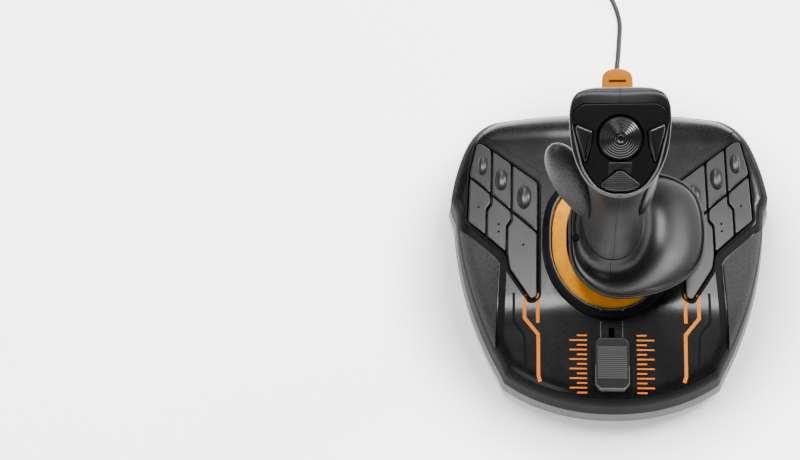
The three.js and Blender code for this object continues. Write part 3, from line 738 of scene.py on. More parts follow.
def steel_finish(name, colour=(0.55, 0.56, 0.58)):
    finish = Finish(name)
    stretch = finish.add("ShaderNodeMapping", values={"Vector": finish.place(), "Scale": (1.0, 1.0, 14.0)})
    brush = finish.noise(600.0, 3.0, place=stretch)
    finish.set(
        base_color=finish.blend(shade(colour, 0.85), shade(colour, 1.12), brush),
        metallic=1.0,
        roughness=0.26 + brush * 0.16,
        normal=finish.bump(brush, 0.08, 0.0001),
    )
    return finish.material


def board_finish(name):
    """A circuit board: near-black lacquer over copper tracks."""
    finish = Finish(name)
    values = {"Vector": finish.place(), "Scale": 320.0}
    cells = finish.add("ShaderNodeTexVoronoi", {"distance": "CHEBYCHEV"}, values)
    tracks = cells > 0.32
    finish.set(
        base_color=finish.blend((0.004, 0.009, 0.006), (0.008, 0.016, 0.01), tracks),
        roughness=0.4 + tracks * 0.15,
        normal=finish.bump(tracks, 0.2, 0.0001),
    )
    return finish.material


def rubber_finish(name, colour=(0.012, 0.012, 0.0125), roughness=0.62):
    finish = Finish(name)
    dust = finish.noise(140.0, 5.0)
    fine = finish.noise(1800.0, 2.0)
    finish.set(
        base_color=finish.blend(shade(colour, 0.8), shade(colour, 1.8), dust),
        roughness=roughness + (dust - 0.5) * 0.2,
        normal=finish.bump(fine, 0.15, 0.0002),
    )
    return finish.material


def print_finish(name):
    """Screen-printed orange, deeper and redder towards the user as painted shade, with a faint painted glow.
    """
    finish = Finish(name)
    colour = tuple(colours().print)
    place = finish.place()
    split = finish.add("ShaderNodeSeparateXYZ", values={0: place}, output=1)
    nearness = (split + HALF_DEPTH) / HALF_DEPTH
    ink = finish.noise(900.0, 3.0, place=place)
    # painted shade: the ink turns deeper and redder towards the user
    near = finish.blend((0.7, 0.12, 0.006), colour, nearness)
    finish.set(
        base_color=finish.blend(near, shade(colour, 1.05), ink * 0.2),
        roughness=0.5 + ink * 0.1,
        specular_ior_level=0.15,
        normal=finish.bump(ink, 0.05, 0.0001),
        # a faint painted glow
        emission_color=near,
        emission_strength=0.12,
    )
    return finish.material


BEZEL_BLACK = (0.002, 0.002, 0.0022)
PALM_BLACK = (0.005, 0.005, 0.0053)
BUTTON_BLACK = (0.007, 0.007, 0.0075)
FINISHES = {}


def finish_of(kind):
    """The joystick's finishes, each made once: a colour, roughness, grain, its scale, coat and gloss."""
    if kind not in FINISHES:
        c = colours()
        makers = {
            "shell": lambda: moulded("shell_gloss_black", tuple(c.shell), 0.27, 0.05, 1800.0, 0.05, 0.32),
            "fan": lambda: moulded("fan_dark_grey", (0.014, 0.014, 0.0145), 0.34, 0.05, 2400.0),
            "bezel": lambda: moulded("bezel_gloss_black", BEZEL_BLACK, 0.3, 0.04, 1800.0, 0.1, 0.3),
            # a light grey that paints the highlights on the ribs of the slider and fan and along the track's
            # edges
            "ribs": lambda: moulded("rib_grey_painted_highlight", (0.09, 0.092, 0.095), 0.32, 0.05, 2400.0),
            "rim": lambda: moulded("rim_satin_grey", tuple(c.rim), 0.42, 0.12, 2200.0),
            "tray": lambda: moulded("tray_black", (0.0015, 0.0015, 0.0016), 0.6, 0.1, 2500.0, 0.0, 0.12),
            "keys": lambda: moulded("key_satin_grey", tuple(c.keys), 0.32, 0.09, 2600.0, 0.0, 0.42),
            "wing": lambda: leathered_with_crease_shade("wing_grain_crease_shade", (0.026, 0.0265, 0.0275), 0.6, 1000.0, 0.8),
            "grip": lambda: moulded("grip_black", tuple(c.grip), 0.34, 0.06, 2000.0, 0.0, 0.4),
            "palm": lambda: moulded("palm_satin_black", PALM_BLACK, 0.32, 0.09, 2400.0, 0.0, 0.3),
            "face": lambda: moulded("face_black", (0.002, 0.002, 0.0022), 0.45, 0.1, 2400.0, 0.0, 0.2),
            "button": lambda: moulded("button_satin_black", BUTTON_BLACK, 0.3, 0.04, 1500.0, 0.1, 0.45),
            "hat": lambda: moulded("hat_black", (0.006, 0.006, 0.0064), 0.24, 0.03, 2400.0, 0.1, 0.5),
            # the light grey of thin lines and marks that paint highlights on rims and edges
            "painted_highlight": lambda: moulded("painted_highlight_grey", (0.09, 0.092, 0.096), 0.32, 0.05, 2400.0),
            "slider": lambda: moulded("slider_black", (0.006, 0.006, 0.0065), 0.4, 0.1, 2400.0, 0.0, 0.3),
            "thumb": lambda: leathered_with_crease_shade("thumb_grain_crease_shade", (0.022, 0.0225, 0.0235), 0.42, 800.0, 1.0),
            "amber": lambda: amber_finish("amber_ring", 1.0),
            "amber_clear": lambda: amber_finish("amber_trigger", 0.25, 0.4),
            "print": lambda: print_finish("printed_orange_painted_shade"),
            "steel": lambda: steel_finish("plain_steel"),
            "board": lambda: board_finish("circuit_board_green"),
            "rubber": lambda: rubber_finish("rubber_black"),
            "cord": lambda: rubber_finish("cord_black", (0.016, 0.016, 0.017), 0.5),
        }
        FINISHES[kind] = makers[kind]()
    return FINISHES[kind]


# ---- Repeats by geometry nodes ----


def row_tree(name):
    """A node tree that repeats a bar along a line."""
    tree = bpy.data.node_groups.new(name, "GeometryNodeTree")
    face = tree.interface
    face.new_socket("Geometry", in_out="OUTPUT", socket_type="NodeSocketGeometry")
    for label, kind in (
        ("Count", "NodeSocketInt"),
        ("Start", "NodeSocketVector"),
        ("Step", "NodeSocketVector"),
        ("Size", "NodeSocketVector"),
        ("Turn", "NodeSocketVector"),
        ("Finish", "NodeSocketMaterial"),
    ):
        face.new_socket(label, in_out="INPUT", socket_type=kind)
    nodes, links = tree.nodes, tree.links
    source = nodes.new("NodeGroupInput")
    line = nodes.new("GeometryNodeMeshLine")
    line.mode = "OFFSET"
    bar = nodes.new("GeometryNodeMeshCube")
    spread = nodes.new("GeometryNodeInstanceOnPoints")
    real = nodes.new("GeometryNodeRealizeInstances")
    paint = nodes.new("GeometryNodeSetMaterial")
    sink = nodes.new("NodeGroupOutput")
    links.new(source.outputs["Count"], line.inputs["Count"])
    links.new(source.outputs["Start"], line.inputs["Start Location"])
    links.new(source.outputs["Step"], line.inputs["Offset"])
    links.new(source.outputs["Size"], bar.inputs["Size"])
    links.new(line.outputs["Mesh"], spread.inputs["Points"])
    links.new(bar.outputs["Mesh"], spread.inputs["Instance"])
    links.new(source.outputs["Turn"], spread.inputs["Rotation"])
    links.new(spread.outputs["Instances"], real.inputs["Geometry"])
    links.new(real.outputs["Geometry"], paint.inputs["Geometry"])
    links.new(source.outputs["Finish"], paint.inputs["Material"])
    links.new(paint.outputs["Geometry"], sink.inputs["Geometry"])
    return tree


def bar_row(name, count, start, step, size, turn, finish):
    """A row of bars as a plain mesh object."""
    tree = bpy.data.node_groups.get("bar_row") or row_tree("bar_row")
    made = bpy.data.objects.new(name, bpy.data.meshes.new(name))
    bpy.context.scene.collection.objects.link(made)
    modifier = made.modifiers.new("row", "NODES")
    modifier.node_group = tree
    ids = {item.name: item.identifier for item in tree.interface.items_tree if item.in_out == "INPUT"}
    values = {"Count": count, "Start": start, "Step": step, "Size": size, "Turn": turn, "Finish": finish}
    for label, value in values.items():
        modifier[ids[label]] = value
    return plain(made)


# ---- Stage and lead ----


# Soft boxes: name, place, side and power.
SOFT_BOXES = (
    ("left_box", (-0.27, 0.33, 1.3), 0.4, 16.0),
    ("right_box", (0.44, 0.35, 1.3), 0.4, 16.0),
    ("rear_box", (0.0, 1.35, 1.0), 0.45, 9.0),
    ("front_box", (-0.7, -1.2, 0.9), 0.6, 3.0),
    ("right_strip", (1.05, 0.58, 0.85), 0.4, 15.0),
    ("left_wall", (-1.5, 0.1, 0.6), 0.9, 3.0),
)
LIGHT_TARGET = Vector((0, 0, 0.08))
AIR_STRENGTH = 0.12
FLOOR_RADIUS = 9
FLOOR_GLOW = 3.2
PAINTED_SHADOW_WIDTH = 0.05
CAMERA_PLACE = (-0.041, -0.3844, 0.8607)
CAMERA_TILT = math.radians(65)
CAMERA_LENS = 64.3
AIM_ASIDE = -0.1006
AIM_UP = 0.0112


class JOYSTICK_OT_stage(bpy.types.Operator):
    """Sets the camera, the lights and the pale floor, with a soft shadow painted round the stick"""

    bl_idname = "joystick.stage"
    bl_label = "Stage"

    def execute(self, context):
        scene = context.scene
        set_camera(scene)
        for name, place, size, power in SOFT_BOXES:
            add_light(scene, name, Vector(place), size, power)
        world = bpy.data.worlds.new("studio_air")
        world.use_nodes = True
        air = world.node_tree.nodes["Background"]
        air.inputs["Color"].default_value = (1, 1, 1, 1)
        air.inputs["Strength"].default_value = AIR_STRENGTH
        scene.world = world
        turns = [2 * math.pi * i / 64 for i in range(64)]
        outline = [(FLOOR_RADIUS * math.sin(a), FLOOR_RADIUS * math.cos(a)) for a in turns]
        floor = slab("floor", outline, 0.0, -0.02)
        finish = Finish("pale_floor_painted_shadow")
        grain = finish.noise(30.0, 3.0)
        distance = finish.add("ShaderNodeVectorMath", {"operation": "LENGTH"}, {0: finish.place()}, output=1)
        # painted shadow: the floor's glow is dimmer close round the stick
        clear = finish.add(
            "ShaderNodeMapRange",
            {"interpolation_type": "SMOOTHSTEP"},
            {0: distance, 1: HALF_WIDTH, 2: HALF_WIDTH + PAINTED_SHADOW_WIDTH},
        )
        finish.set(
            base_color=finish.blend((0.87, 0.87, 0.87), (0.9, 0.9, 0.9), grain),
            roughness=0.8 + grain * 0.1,
            specular_ior_level=0.1,
            emission_color=finish.blend((0.16, 0.16, 0.16), (1.0, 1.0, 1.0), clear),
            emission_strength=FLOOR_GLOW,
        )
        floor.data.materials.append(finish.material)
        return {"FINISHED"}


def set_camera(scene):
    """A camera in front of and above the stick, aimed a little to its left."""
    data = bpy.data.cameras.new("camera")
    camera = bpy.data.objects.new("camera", data)
    scene.collection.objects.link(camera)
    data.sensor_width = 36
    data.lens = CAMERA_LENS
    ahead = Vector((0, math.cos(CAMERA_TILT), -math.sin(CAMERA_TILT)))
    up = Vector((0, math.sin(CAMERA_TILT), math.cos(CAMERA_TILT)))
    ahead = (ahead + Vector((AIM_ASIDE, 0, 0)) + up * AIM_UP).normalized()
    right = ahead.cross(up).normalized()
    up = right.cross(ahead)
    turn = Matrix((right, up, -ahead)).transposed().to_4x4()
    camera.matrix_world = Matrix.Translation(CAMERA_PLACE) @ turn
    scene.camera = camera


def add_light(scene, name, place, size, power):
    data = bpy.data.lights.new(name, "AREA")
    data.size = size
    data.energy = power
    light = bpy.data.objects.new(name, data)
    scene.collection.objects.link(light)
    light.location = place
    light.rotation_euler = (LIGHT_TARGET - place).to_track_quat("-Z", "Y").to_euler()


# The free stretch of the lead in millimetres, from the base's rear, and its coil.
CORD_ROUTE = [
    (0, 8.3, 11),
    (1.5, 17, 9.3),
    (5, 28, 4.2),
    (8.8, 41, 2),
    (10.6, 54, 1.9),
    (11.9, 70, 1.9),
    (12.6, 84, 1.9),
    (10, 97, 2.2),
    (5.5, 107, 5.5),
    (1, 115, 11.5),
    (-2.2, 123, 16.3),
    (-3.4, 131, 17.4),
]
COIL_CENTRE = Vector((14, 144))
COIL_FLOOR = 3.15
COIL_INNER = 17.5
COIL_STEP = 3.5
COIL_COLUMNS = 3
COIL_LEVELS = 4


def smooth_path(points, count, closed=False):
    """Points of a Catmull-Rom curve through others."""
    made = []
    n = len(points)
    for i in range(n if closed else n - 1):
        p = [Vector(points[k % n] if closed else points[min(max(k, 0), n - 1)]) for k in range(i - 1, i + 3)]
        for k in range(count):
            t = k / count
            made.append(
                0.5
                * (
                    2 * p[1]
                    + (p[2] - p[0]) * t
                    + (2 * p[0] - 5 * p[1] + 4 * p[2] - p[3]) * t * t
                    + (3 * p[1] - p[0] - 3 * p[2] + p[3]) * t**3
                )
            )
    if not closed:
        made.append(Vector(points[-1]))
    return made


def coil_path():
    """The tied coil: down the inner column of turns, up the middle one and down the outer one."""
    made = []
    steps = 28
    turns = sizes().coil_turns
    for turn in range(turns):
        column, place = divmod(turn, COIL_LEVELS)
        level = COIL_LEVELS - 1 - place if column % 2 == 0 else place
        step = 0 if place == COIL_LEVELS - 1 else (-1 if column % 2 == 0 else 1)
        for k in range(steps):
            part = k / steps
            ease = max(0.0, (part - 0.8) / 0.2)
            ease = ease * ease * (3 - 2 * ease)
            last = turn == turns - 1
            outwards = ease if place == COIL_LEVELS - 1 and not last else 0
            radius = COIL_INNER + COIL_STEP * (column + outwards)
            z = COIL_FLOOR + COIL_STEP * (level + step * ease)
            if turn == 0:
                start = max(0.0, 1 - part / 0.3)
                z += 3.8 * start * start * (3 - 2 * start)
            angle = math.pi - 2 * math.pi * part
            x = COIL_CENTRE.x + radius * math.cos(angle)
            y = COIL_CENTRE.y + radius * math.sin(angle)
            made.append(Vector((x, y, z)))
    return made


def cord_path():
    """The whole lead: its free stretch, the coil and the short end that goes into the plug."""
    rear = HALF_DEPTH / MM
    route = smooth_path(CORD_ROUTE, 3) + coil_path()
    outer = COIL_CENTRE.x - COIL_INNER - COIL_STEP * (COIL_COLUMNS - 1)
    tail = ((0, 0), (7, 0.2), (14, 0.8))
    route += [Vector((outer, COIL_CENTRE.y + dy, COIL_FLOOR + dz)) for dy, dz in tail]
    return [Vector((p.x, p.y + rear, p.z)) * MM for p in route]


class JOYSTICK_OT_lead(bpy.types.Operator):
    """Lays the lead: out of its sleeve, along the table to a tied coil, and into its plug"""

    bl_idname = "joystick.lead"
    bl_label = "Lead"

    def execute(self, context):
        path = cord_path()
        curve = bpy.data.curves.new("cord", "CURVE")
        curve.dimensions = "3D"
        curve.bevel_depth = CORD_RADIUS
        curve.bevel_resolution = 3
        curve.use_fill_caps = True
        spline = curve.splines.new("POLY")
        spline.points.add(len(path) - 1)
        for point, place in zip(spline.points, path):
            point.co = (*place, 1)
        curve.materials.append(finish_of("cord"))
        cord = bpy.data.objects.new("cord", curve)
        context.scene.collection.objects.link(cord)
        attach(cord, "base")
        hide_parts("usb_cable", "cable_coil")
        sleeve = make_sleeve()
        plug = make_plug()
        tie = make_tie()
        return {"FINISHED"}


def make_sleeve():
    """The ribbed bend sleeve at the rear of the base."""
    profile = [[0, -6], [3.75, -6], [3.75, 1]]
    for k in range(6):
        z = 1.2 + k * 0.9
        radius = mix(3.6, 2.6, k / 5)
        profile += [[radius, z], [radius, z + 0.5], [radius - 0.5, z + 0.6], [radius - 0.5, z + 0.85]]
    profile += [[2.4, 6.4], [0, 6.4]]
    turn = Matrix.Translation((0, HALF_DEPTH + 1.5 * MM, CORD_EXIT_Z)) @ Matrix.Rotation(-math.pi / 2, 4, "X")
    sleeve = spun("cord_sleeve", [[a * MM, b * MM] for a, b in profile], 32, turn)
    return settle(sleeve, "base", "black_rubber", finish_of("rubber"), "cable_gland")


def make_plug():
    """The plug's handle and its tapered, ribbed relief."""
    profile = [[0, -2], [2.3, -2]]
    for k in range(7):
        z = mix(0, 14, k / 7)
        radius = mix(2.4, 3.3, k / 6)
        profile += [[radius, z], [radius, z + 1.2], [radius - 0.45, z + 1.4], [radius - 0.45, z + 1.9]]
    profile += [[3.5, 15], [3.5, 17], [0, 17]]
    box_low, box_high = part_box("usb_plug_body")
    middle_x = (box_low[0] + box_high[0]) / 2
    z = (box_low[2] + box_high[2]) / 2
    start = box_high[1] - 38 * MM
    turn = Matrix.Translation((middle_x, start, z)) @ Matrix.Rotation(-math.pi / 2, 4, "X")
    relief = spun("plug_relief", [[a * MM, b * MM] for a, b in profile], 32, turn)
    corners = [(-7.5, -4), (-7.5, 4), (7.5, 4), (7.5, -4)]
    outline = [(x * MM, y * MM) for x, y in rounded(corners, 2.5, 5)]
    rings = []
    for along, share in ((0, 0.55), (1.5, 0.8), (4, 0.97), (6, 1), (20, 1), (21.4, 0.96), (22, 0.86)):
        rings.append(
            [(middle_x + x * share, start + (16 + along) * MM, z + v * share) for x, v in outline]
        )
    handle = loft("plug_handle", rings, sharp=50)
    plug = joined("plug_body", [relief, handle], 50)
    return settle(plug, "base", "black_rubber", finish_of("rubber"), "usb_plug_body")


def make_tie():
    """The strap that holds the coil."""
    low_corner, high_corner = Vector(low("cable_tie")), Vector(high("cable_tie"))
    middle = (low_corner + high_corner) / 2
    half = (high_corner - low_corner) / 2
    corners = [(-half.x, -half.z), (-half.x, half.z), (half.x, half.z), (half.x, -half.z)]
    outer = rounded(corners, 2.2 * MM, 6)
    inner = inset(outer, 0.8 * MM)
    rings = []
    for outline, share in ((outer, -1), (outer, 1), (inner, 1), (inner, -1)):
        rings.append([(middle.x + x, middle.y + share * half.y, middle.z + z) for x, z in outline])
    tie = loft("cord_tie", rings, closed=True)
    return settle(tie, "base", "black_rubber", finish_of("rubber"), "cable_tie")


# ---- Base ----


class JOYSTICK_OT_lower_shell(bpy.types.Operator):
    """Makes the lower shell, a shallow tray with a satin rim"""

    bl_idname = "joystick.lower_shell"
    bl_label = "Lower shell"

    def execute(self, context):
        outline = base_outline(22)
        # how far in from the outline, and how high, in millimetres, up the outside and down the inside
        levels = [(7, 2.3), (5.4, 2.6), (2.6, 5.1), (0.7, 7.2), (0, 8), (0.05, 8.6), (0.5, 11), (1.5, 15.2)]
        levels += [(1.8, 15.8), (2.2, 16), (4.2, 16), (3.2, 12), (2.6, 8), (5.2, 6.4), (9.5, 4.8)]
        pan = loft("lower_shell", [lift(inset(outline, a * MM), z * MM) for a, z in levels], sharp=50)
        hole = drilled("cord_hole", 4.05 * MM, 10 * MM, 32)
        turn = Matrix.Translation((0, HALF_DEPTH, CORD_EXIT_Z)) @ Matrix.Rotation(math.pi / 2, 4, "X")
        hole.data.transform(turn)
        cut(pan, [hole], sharp=50)
        settle(pan, "base", "satin_grey_plastic", finish_of("rim"), "base_pan")
        return {"FINISHED"}


def cover_rings(raise_by, thinner=0.0, fine=22):
    """The upper shell's rings from its skirt up to the stick's socket."""
    outline = base_outline(fine)
    skirt = inset(outline, 1.8 * MM + thinner)
    edge = inset(outline, EDGE_INSET + thinner)
    hole = [socket_point(math.atan2(y - PIVOT.y, x), 2 * MM) for x, y in edge]

    def level(t):
        return lambda x, y: cover_z(x, y) + raise_by - thinner - EDGE_DROP * max(0.0, 1 - t / 0.14) ** 2

    def across(t):
        return [(mix(x, hx, t), mix(y, hy, t)) for (x, y), (hx, hy) in zip(edge, hole)]

    shares = [0.012, 0.03, 0.055, 0.085, 0.12, 0.16] + [0.16 + 0.84 * k / 22 for k in range(1, 23)]
    rings = [lift(skirt, SEAT)]
    for k in range(1, 4):
        rings.append(
            [
                (mix(sx, ex, k / 4), mix(sy, ey, k / 4), mix(SEAT, level(0)(ex, ey), k / 4))
                for (sx, sy), (ex, ey) in zip(skirt, edge)
            ]
        )
    rings.append(lift(edge, lambda x, y: level(0)(x, y) - 0.35 * MM))
    rings.append(lift(inset(edge, 0.35 * MM), lambda x, y: level(0)(x, y) + 0.05 * MM))
    return rings + [lift(across(t), level(t)) for t in shares]


def cover_fill(name, raise_by):
    """Everything under the upper shell's surface, or under one raised from it."""
    return loft(name, cover_rings(raise_by))


def pod_plan(side):
    return rounded(on_side(pod_outline(), side), 3 * MM)


def between_points(a, b):
    """Points along an edge, closer than 3 mm together."""
    a, b = Vector(a), Vector(b)
    steps = max(1, int((b - a).length / (3 * MM)))
    return [tuple(a + (b - a) * k / steps) for k in range(steps)]


def pod_cutter(side, grow):
    return slab("pod_room", inset(pod_plan(side), -grow), ABOVE_ALL, lambda x, y: pod_z(x, y) - 14 * MM)


def lane(half, front, back):
    """A narrow room that runs from front to back under the throttle slider."""
    return rounded([(-half, front), (-half, back), (half, back), (half, front)], 0.6 * MM)


def key_tray(side):
    """The black tray that the keys sit in, with rounded corners."""
    plan = pod_plan(side)
    rings = []
    for grow, z in ((2.1, -9), (2.1, 0.35), (2.0, 0.5), (1.0, 0.5), (0.9, 0.35), (0.9, -7.8)):
        rings.append(lift(inset(plan, -grow * MM), lambda x, y, z=z: pod_z(x, y) + z * MM))
    return loft("tray", rings)


class JOYSTICK_OT_upper_shell(bpy.types.Operator):
    """Makes the glossy upper shell, with room for the keys, the slider and the stick, and its dull skirt"""

    bl_idname = "joystick.upper_shell"
    bl_label = "Upper shell"

    def execute(self, context):
        rings = cover_rings(0.0) + cover_rings(0.0, SHELL_WALL)[::-1]
        cover = loft("upper_shell", rings, closed=True)
        cutters = [pod_cutter(side, 2.4 * MM) for _, side in SIDES]
        front, back = low("throttle_slider")[1] + 5 * MM, PIVOT.y - SOCKET_USER - 10 * MM
        cutters.append(slab("slot_room", lane(1.8 * MM, front, back), ABOVE_ALL, 0.02))
        track = lane(6.3 * MM, front, back + 3.4 * MM)
        fine = [p for a, b in zip(track, track[1:] + track[:1]) for p in between_points(a, b)]
        cutters.append(slab("track_room", fine, ABOVE_ALL, lambda x, y: cover_z(x, y) - 0.9 * MM))
        cut(cover, cutters)
        settle(cover, "base", "gloss_black_plastic", finish_of("shell"), "top_cover")
        outer, inner = cover_rings(0.0, -0.15 * MM)[:9], cover_rings(0.0, 0.6 * MM)[8::-1]
        skirt = loft("shell_skirt", outer + inner, closed=True)
        settle(skirt, "base", "gloss_black_plastic", finish_of("tray"))
        return {"FINISHED"}


class JOYSTICK_OT_wings(bpy.types.Operator):
    """Makes the grained plates on the two flanks"""

    bl_idname = "joystick.wings"
    bl_label = "Flank plates"

    def execute(self, context):
        front = -0.72 * HALF_DEPTH
        aside = HALF_WIDTH * 2
        rear_y = near_y(POD_OUTER + 9 * MM) - 10.6 * MM
        for name, side in SIDES:
            corners = [
                (POD_OUTER + 9 * MM, rear_y),
                (POD_CORNER + 6.2 * MM, near_y(POD_CORNER + 6.2 * MM) - 10.9 * MM),
                (POD_CORNER + 5 * MM, near_y(POD_CORNER + 5 * MM) - 12.7 * MM),
                (POD_CORNER + 6.7 * MM, front),
                (aside, front),
                (aside, rear_y),
            ]
            plate = slab("region", on_side(corners, side), ABOVE_ALL, 0.017)
            cut(plate, [slab("inner", inset(base_outline(), EDGE_INSET + 1 * MM), 0.1, 0.01)], "INTERSECT")
            cut(plate, [cover_fill("over", 1.7 * MM)], "INTERSECT")
            cut(plate, [cover_fill("under", 0.3 * MM)])
            plate.name = f"flank_plate_{name}"
            settle(plate, "base", "grained_grey_plastic", finish_of("wing"), f"wing_plate_{name}")
        return {"FINISHED"}


class JOYSTICK_OT_keys(bpy.types.Operator):
    """Makes the two key trays and the twelve keys, with their ridges, beads and dimples"""

    bl_idname = "joystick.keys"
    bl_label = "Keys"

    def execute(self, context):
        for name, side in SIDES:
            tray = key_tray(side)
            tray.name = f"tray_{name}"
            settle(tray, "base", "matte_black_plastic", finish_of("tray"), f"key_tray_{name}")
            for number in range(1, 7):
                parts = [key_plate(side, number)]
                if number in BEADS:
                    parts += key_bead(side, number)
                key = joined(f"key_{name}_{number}_fine", parts, 40)
                node = f"key_{name}_{number}"
                settle(key, node, "key_grey_plastic", finish_of("keys"), node)
        return {"FINISHED"}


def key_plate(side, number):
    """A key's body, with a rounded edge, and with dimples on the near row."""
    raise_by = sizes().key_raise
    plan = inset(on_side(key_outline(number), side), 0.05 * MM)
    plate = slab(
        "plate",
        plan,
        lambda x, y: pod_z(x, y) + raise_by,
        lambda x, y: pod_z(x, y) - 4.3 * MM,
        rim=0.7 * MM,
        steps=4,
        corner=1.7 * MM,
    )
    cut(plate, key_dimples(side, number))
    return plate


def ellipsoid(name, centre, radii, around=32, along=16):
    """An ellipsoid with flat tips, its poles on Z."""
    turns = [2 * math.pi * i / around for i in range(around)]
    rings = []
    for k in range(1, along):
        polar = math.pi * k / along
        across, level = math.sin(polar), radii[2] * math.cos(polar)
        rings.append(
            [(radii[0] * across * math.cos(a), radii[1] * across * math.sin(a), level) for a in turns]
        )
    made = loft(name, rings, sharp=60)
    made.data.transform(Matrix.Translation(centre))
    return made


# An upper key's bead: half width, half length and height, by number.
BEADS = {1: (4.8, 9, 3.6), 2: (4.2, 8.5, 3.4), 3: (3.6, 7.7, 3.2)}
# A lower key's dimples, from its middle and from the line between the two rows, by number.
DIMPLES = {4: [(-2.6, -16.7)], 5: [(0, -16.8), (0, -22)], 6: [(2, -16.4)]}


def key_bead(side, number):
    """An upper key's raised bead, and the ridge along its near edge."""
    x, y = bead_centre(number)
    z = pod_z(x, y) + sizes().key_raise - 0.9 * MM
    bead = ellipsoid("bead", (side * x, y, z), [r * MM for r in BEADS[number]])
    start, end = COLUMNS[number - 1] + 1.6 * MM, COLUMNS[number] - 1.6 * MM
    rings = []
    for k in range(7):
        px = mix(start, end, k / 6)
        py = row_y(px) + 1.9 * MM
        pz = pod_z(px, py) + sizes().key_raise
        thick = 0.6 * MM if 0 < k < 6 else 0.15 * MM
        rings.append(
            [
                (side * px, py + 1.3 * thick * math.cos(a), pz + thick * math.sin(a))
                for a in (2 * math.pi * i / 12 for i in range(12))
            ]
        )
    return [bead, loft("ridge", rings, sharp=50)]


def key_dimples(side, number):
    """Cutters for the small dimples of a lower key."""
    if number not in DIMPLES:
        return []
    outline = key_outline(number)
    middle = sum(p[0] for p in outline) / len(outline)
    made = []
    for across, along in DIMPLES[number]:
        x = middle + across * MM
        y = row_y(x) + along * MM
        place = (side * x, y, pod_z(x, y) + sizes().key_raise)
        made.append(ellipsoid("dimple", place, (0.75 * MM, 0.75 * MM, 1.6 * MM), 20, 10))
    return made


def socket_loft(name, section, sharp=35):
    """A ring that follows the socket, from [grow, height] points, a height being a number or a function."""
    angles = [2 * math.pi * i / 160 for i in range(160)]
    rings = []
    for grow, z in section:
        rings.append(lift([socket_point(a, grow * MM) for a in angles], z))
    return loft(name, rings, closed=True, sharp=sharp)


class JOYSTICK_OT_socket(bpy.types.Operator):
    """Makes the dark bezel with a light grey ring and two light grey marks at its front as painted
    highlights, the amber ring and the dust dome
    """

    bl_idname = "joystick.socket"
    bl_label = "Socket"

    def execute(self, context):
        top = sizes().plateau
        bezel = socket_loft(
            "socket_lip",
            [
                (6, lambda x, y: cover_z(x, y) + 0.25 * MM),
                (6.05, lambda x, y: cover_z(x, y) + 0.8 * MM),
                (5.6, top + 1.5 * MM),
                (4.6, top + 2.1 * MM),
                (2.4, top + 2.9 * MM),
                (1.4, top + 3.3 * MM),
                (0.7, top + 3.4 * MM),
                (0.15, top + 3.1 * MM),
                (0, top + 2.6 * MM),
                (0, top - 6 * MM),
                (1.7, top - 6 * MM),
                (1.7, lambda x, y: cover_z(x, y) + 0.25 * MM),
            ],
        )
        settle(bezel, "base", "gloss_black_plastic", finish_of("bezel"), "ring_bezel")
        # A light grey ring along the bezel's crest and two light grey marks at its front are painted
        # highlights.
        line = socket_loft(
            "socket_highlight_ring",
            [
                (1.5, top + 3.1 * MM),
                (1.45, top + 3.5 * MM),
                (1.2, top + 3.75 * MM),
                (0.8, top + 3.75 * MM),
                (0.6, top + 3.5 * MM),
                (0.6, top + 3.1 * MM),
            ],
        )
        for side in (-1, 1):
            place = (side * 6.4 * MM, PIVOT.y - SOCKET_USER - 0.6 * MM, top + 3.3 * MM)
            painted_glint = box("painted_glint", place, (1.6 * MM, 2.2 * MM, 1.6 * MM))
            bevelled(painted_glint, 0.3 * MM)
            line = joined("socket_highlight_ring", [line, painted_glint])
        settle(line, "base", "satin_grey_plastic", finish_of("painted_highlight"))
        light = socket_loft(
            "amber_ring",
            [
                (-0.3, top + 1.2 * MM),
                (-0.9, top + 1.75 * MM),
                (-3, top + 2.7 * MM),
                (-6, top + 3.7 * MM),
                (-8.2, top + 4.15 * MM),
                (-8.8, top + 4.15 * MM),
                (-9, top + 3.8 * MM),
                (-9, top + 0.6 * MM),
                (-0.3, top - 2.5 * MM),
            ],
        )
        settle(light, "base", "amber_plastic", finish_of("amber"), "light_ring")
        dome = make_dome()
        settle(dome, "shaft", "matte_black_plastic", finish_of("grip"), "dust_dome")
        return {"FINISHED"}


def make_dome():
    """The dust dome: a thin ball shell with fine grooves round it."""
    radius = high("dust_dome")[0]
    mouth = 5.6 * MM
    thin = 2 * MM
    start = math.asin(mouth / (radius - thin))
    end = 1.18
    angles = [2 * math.pi * i / 96 for i in range(96)]

    def circle(r, polar):
        across = r * math.sin(polar)
        return [(across * math.cos(a), across * math.sin(a), r * math.cos(polar)) for a in angles]

    rings = []
    for k in range(40):
        groove = 0.35 * MM if k % 6 == 3 and k < 34 else 0.0
        rings.append(circle(radius - groove, mix(start, end, k / 39)))
    rings += [circle(radius - thin, mix(end, start, k / 11)) for k in range(12)]
    dome = loft("dust_ball", rings, closed=True)
    dome.data.transform(Matrix.Translation(PIVOT))
    return dome


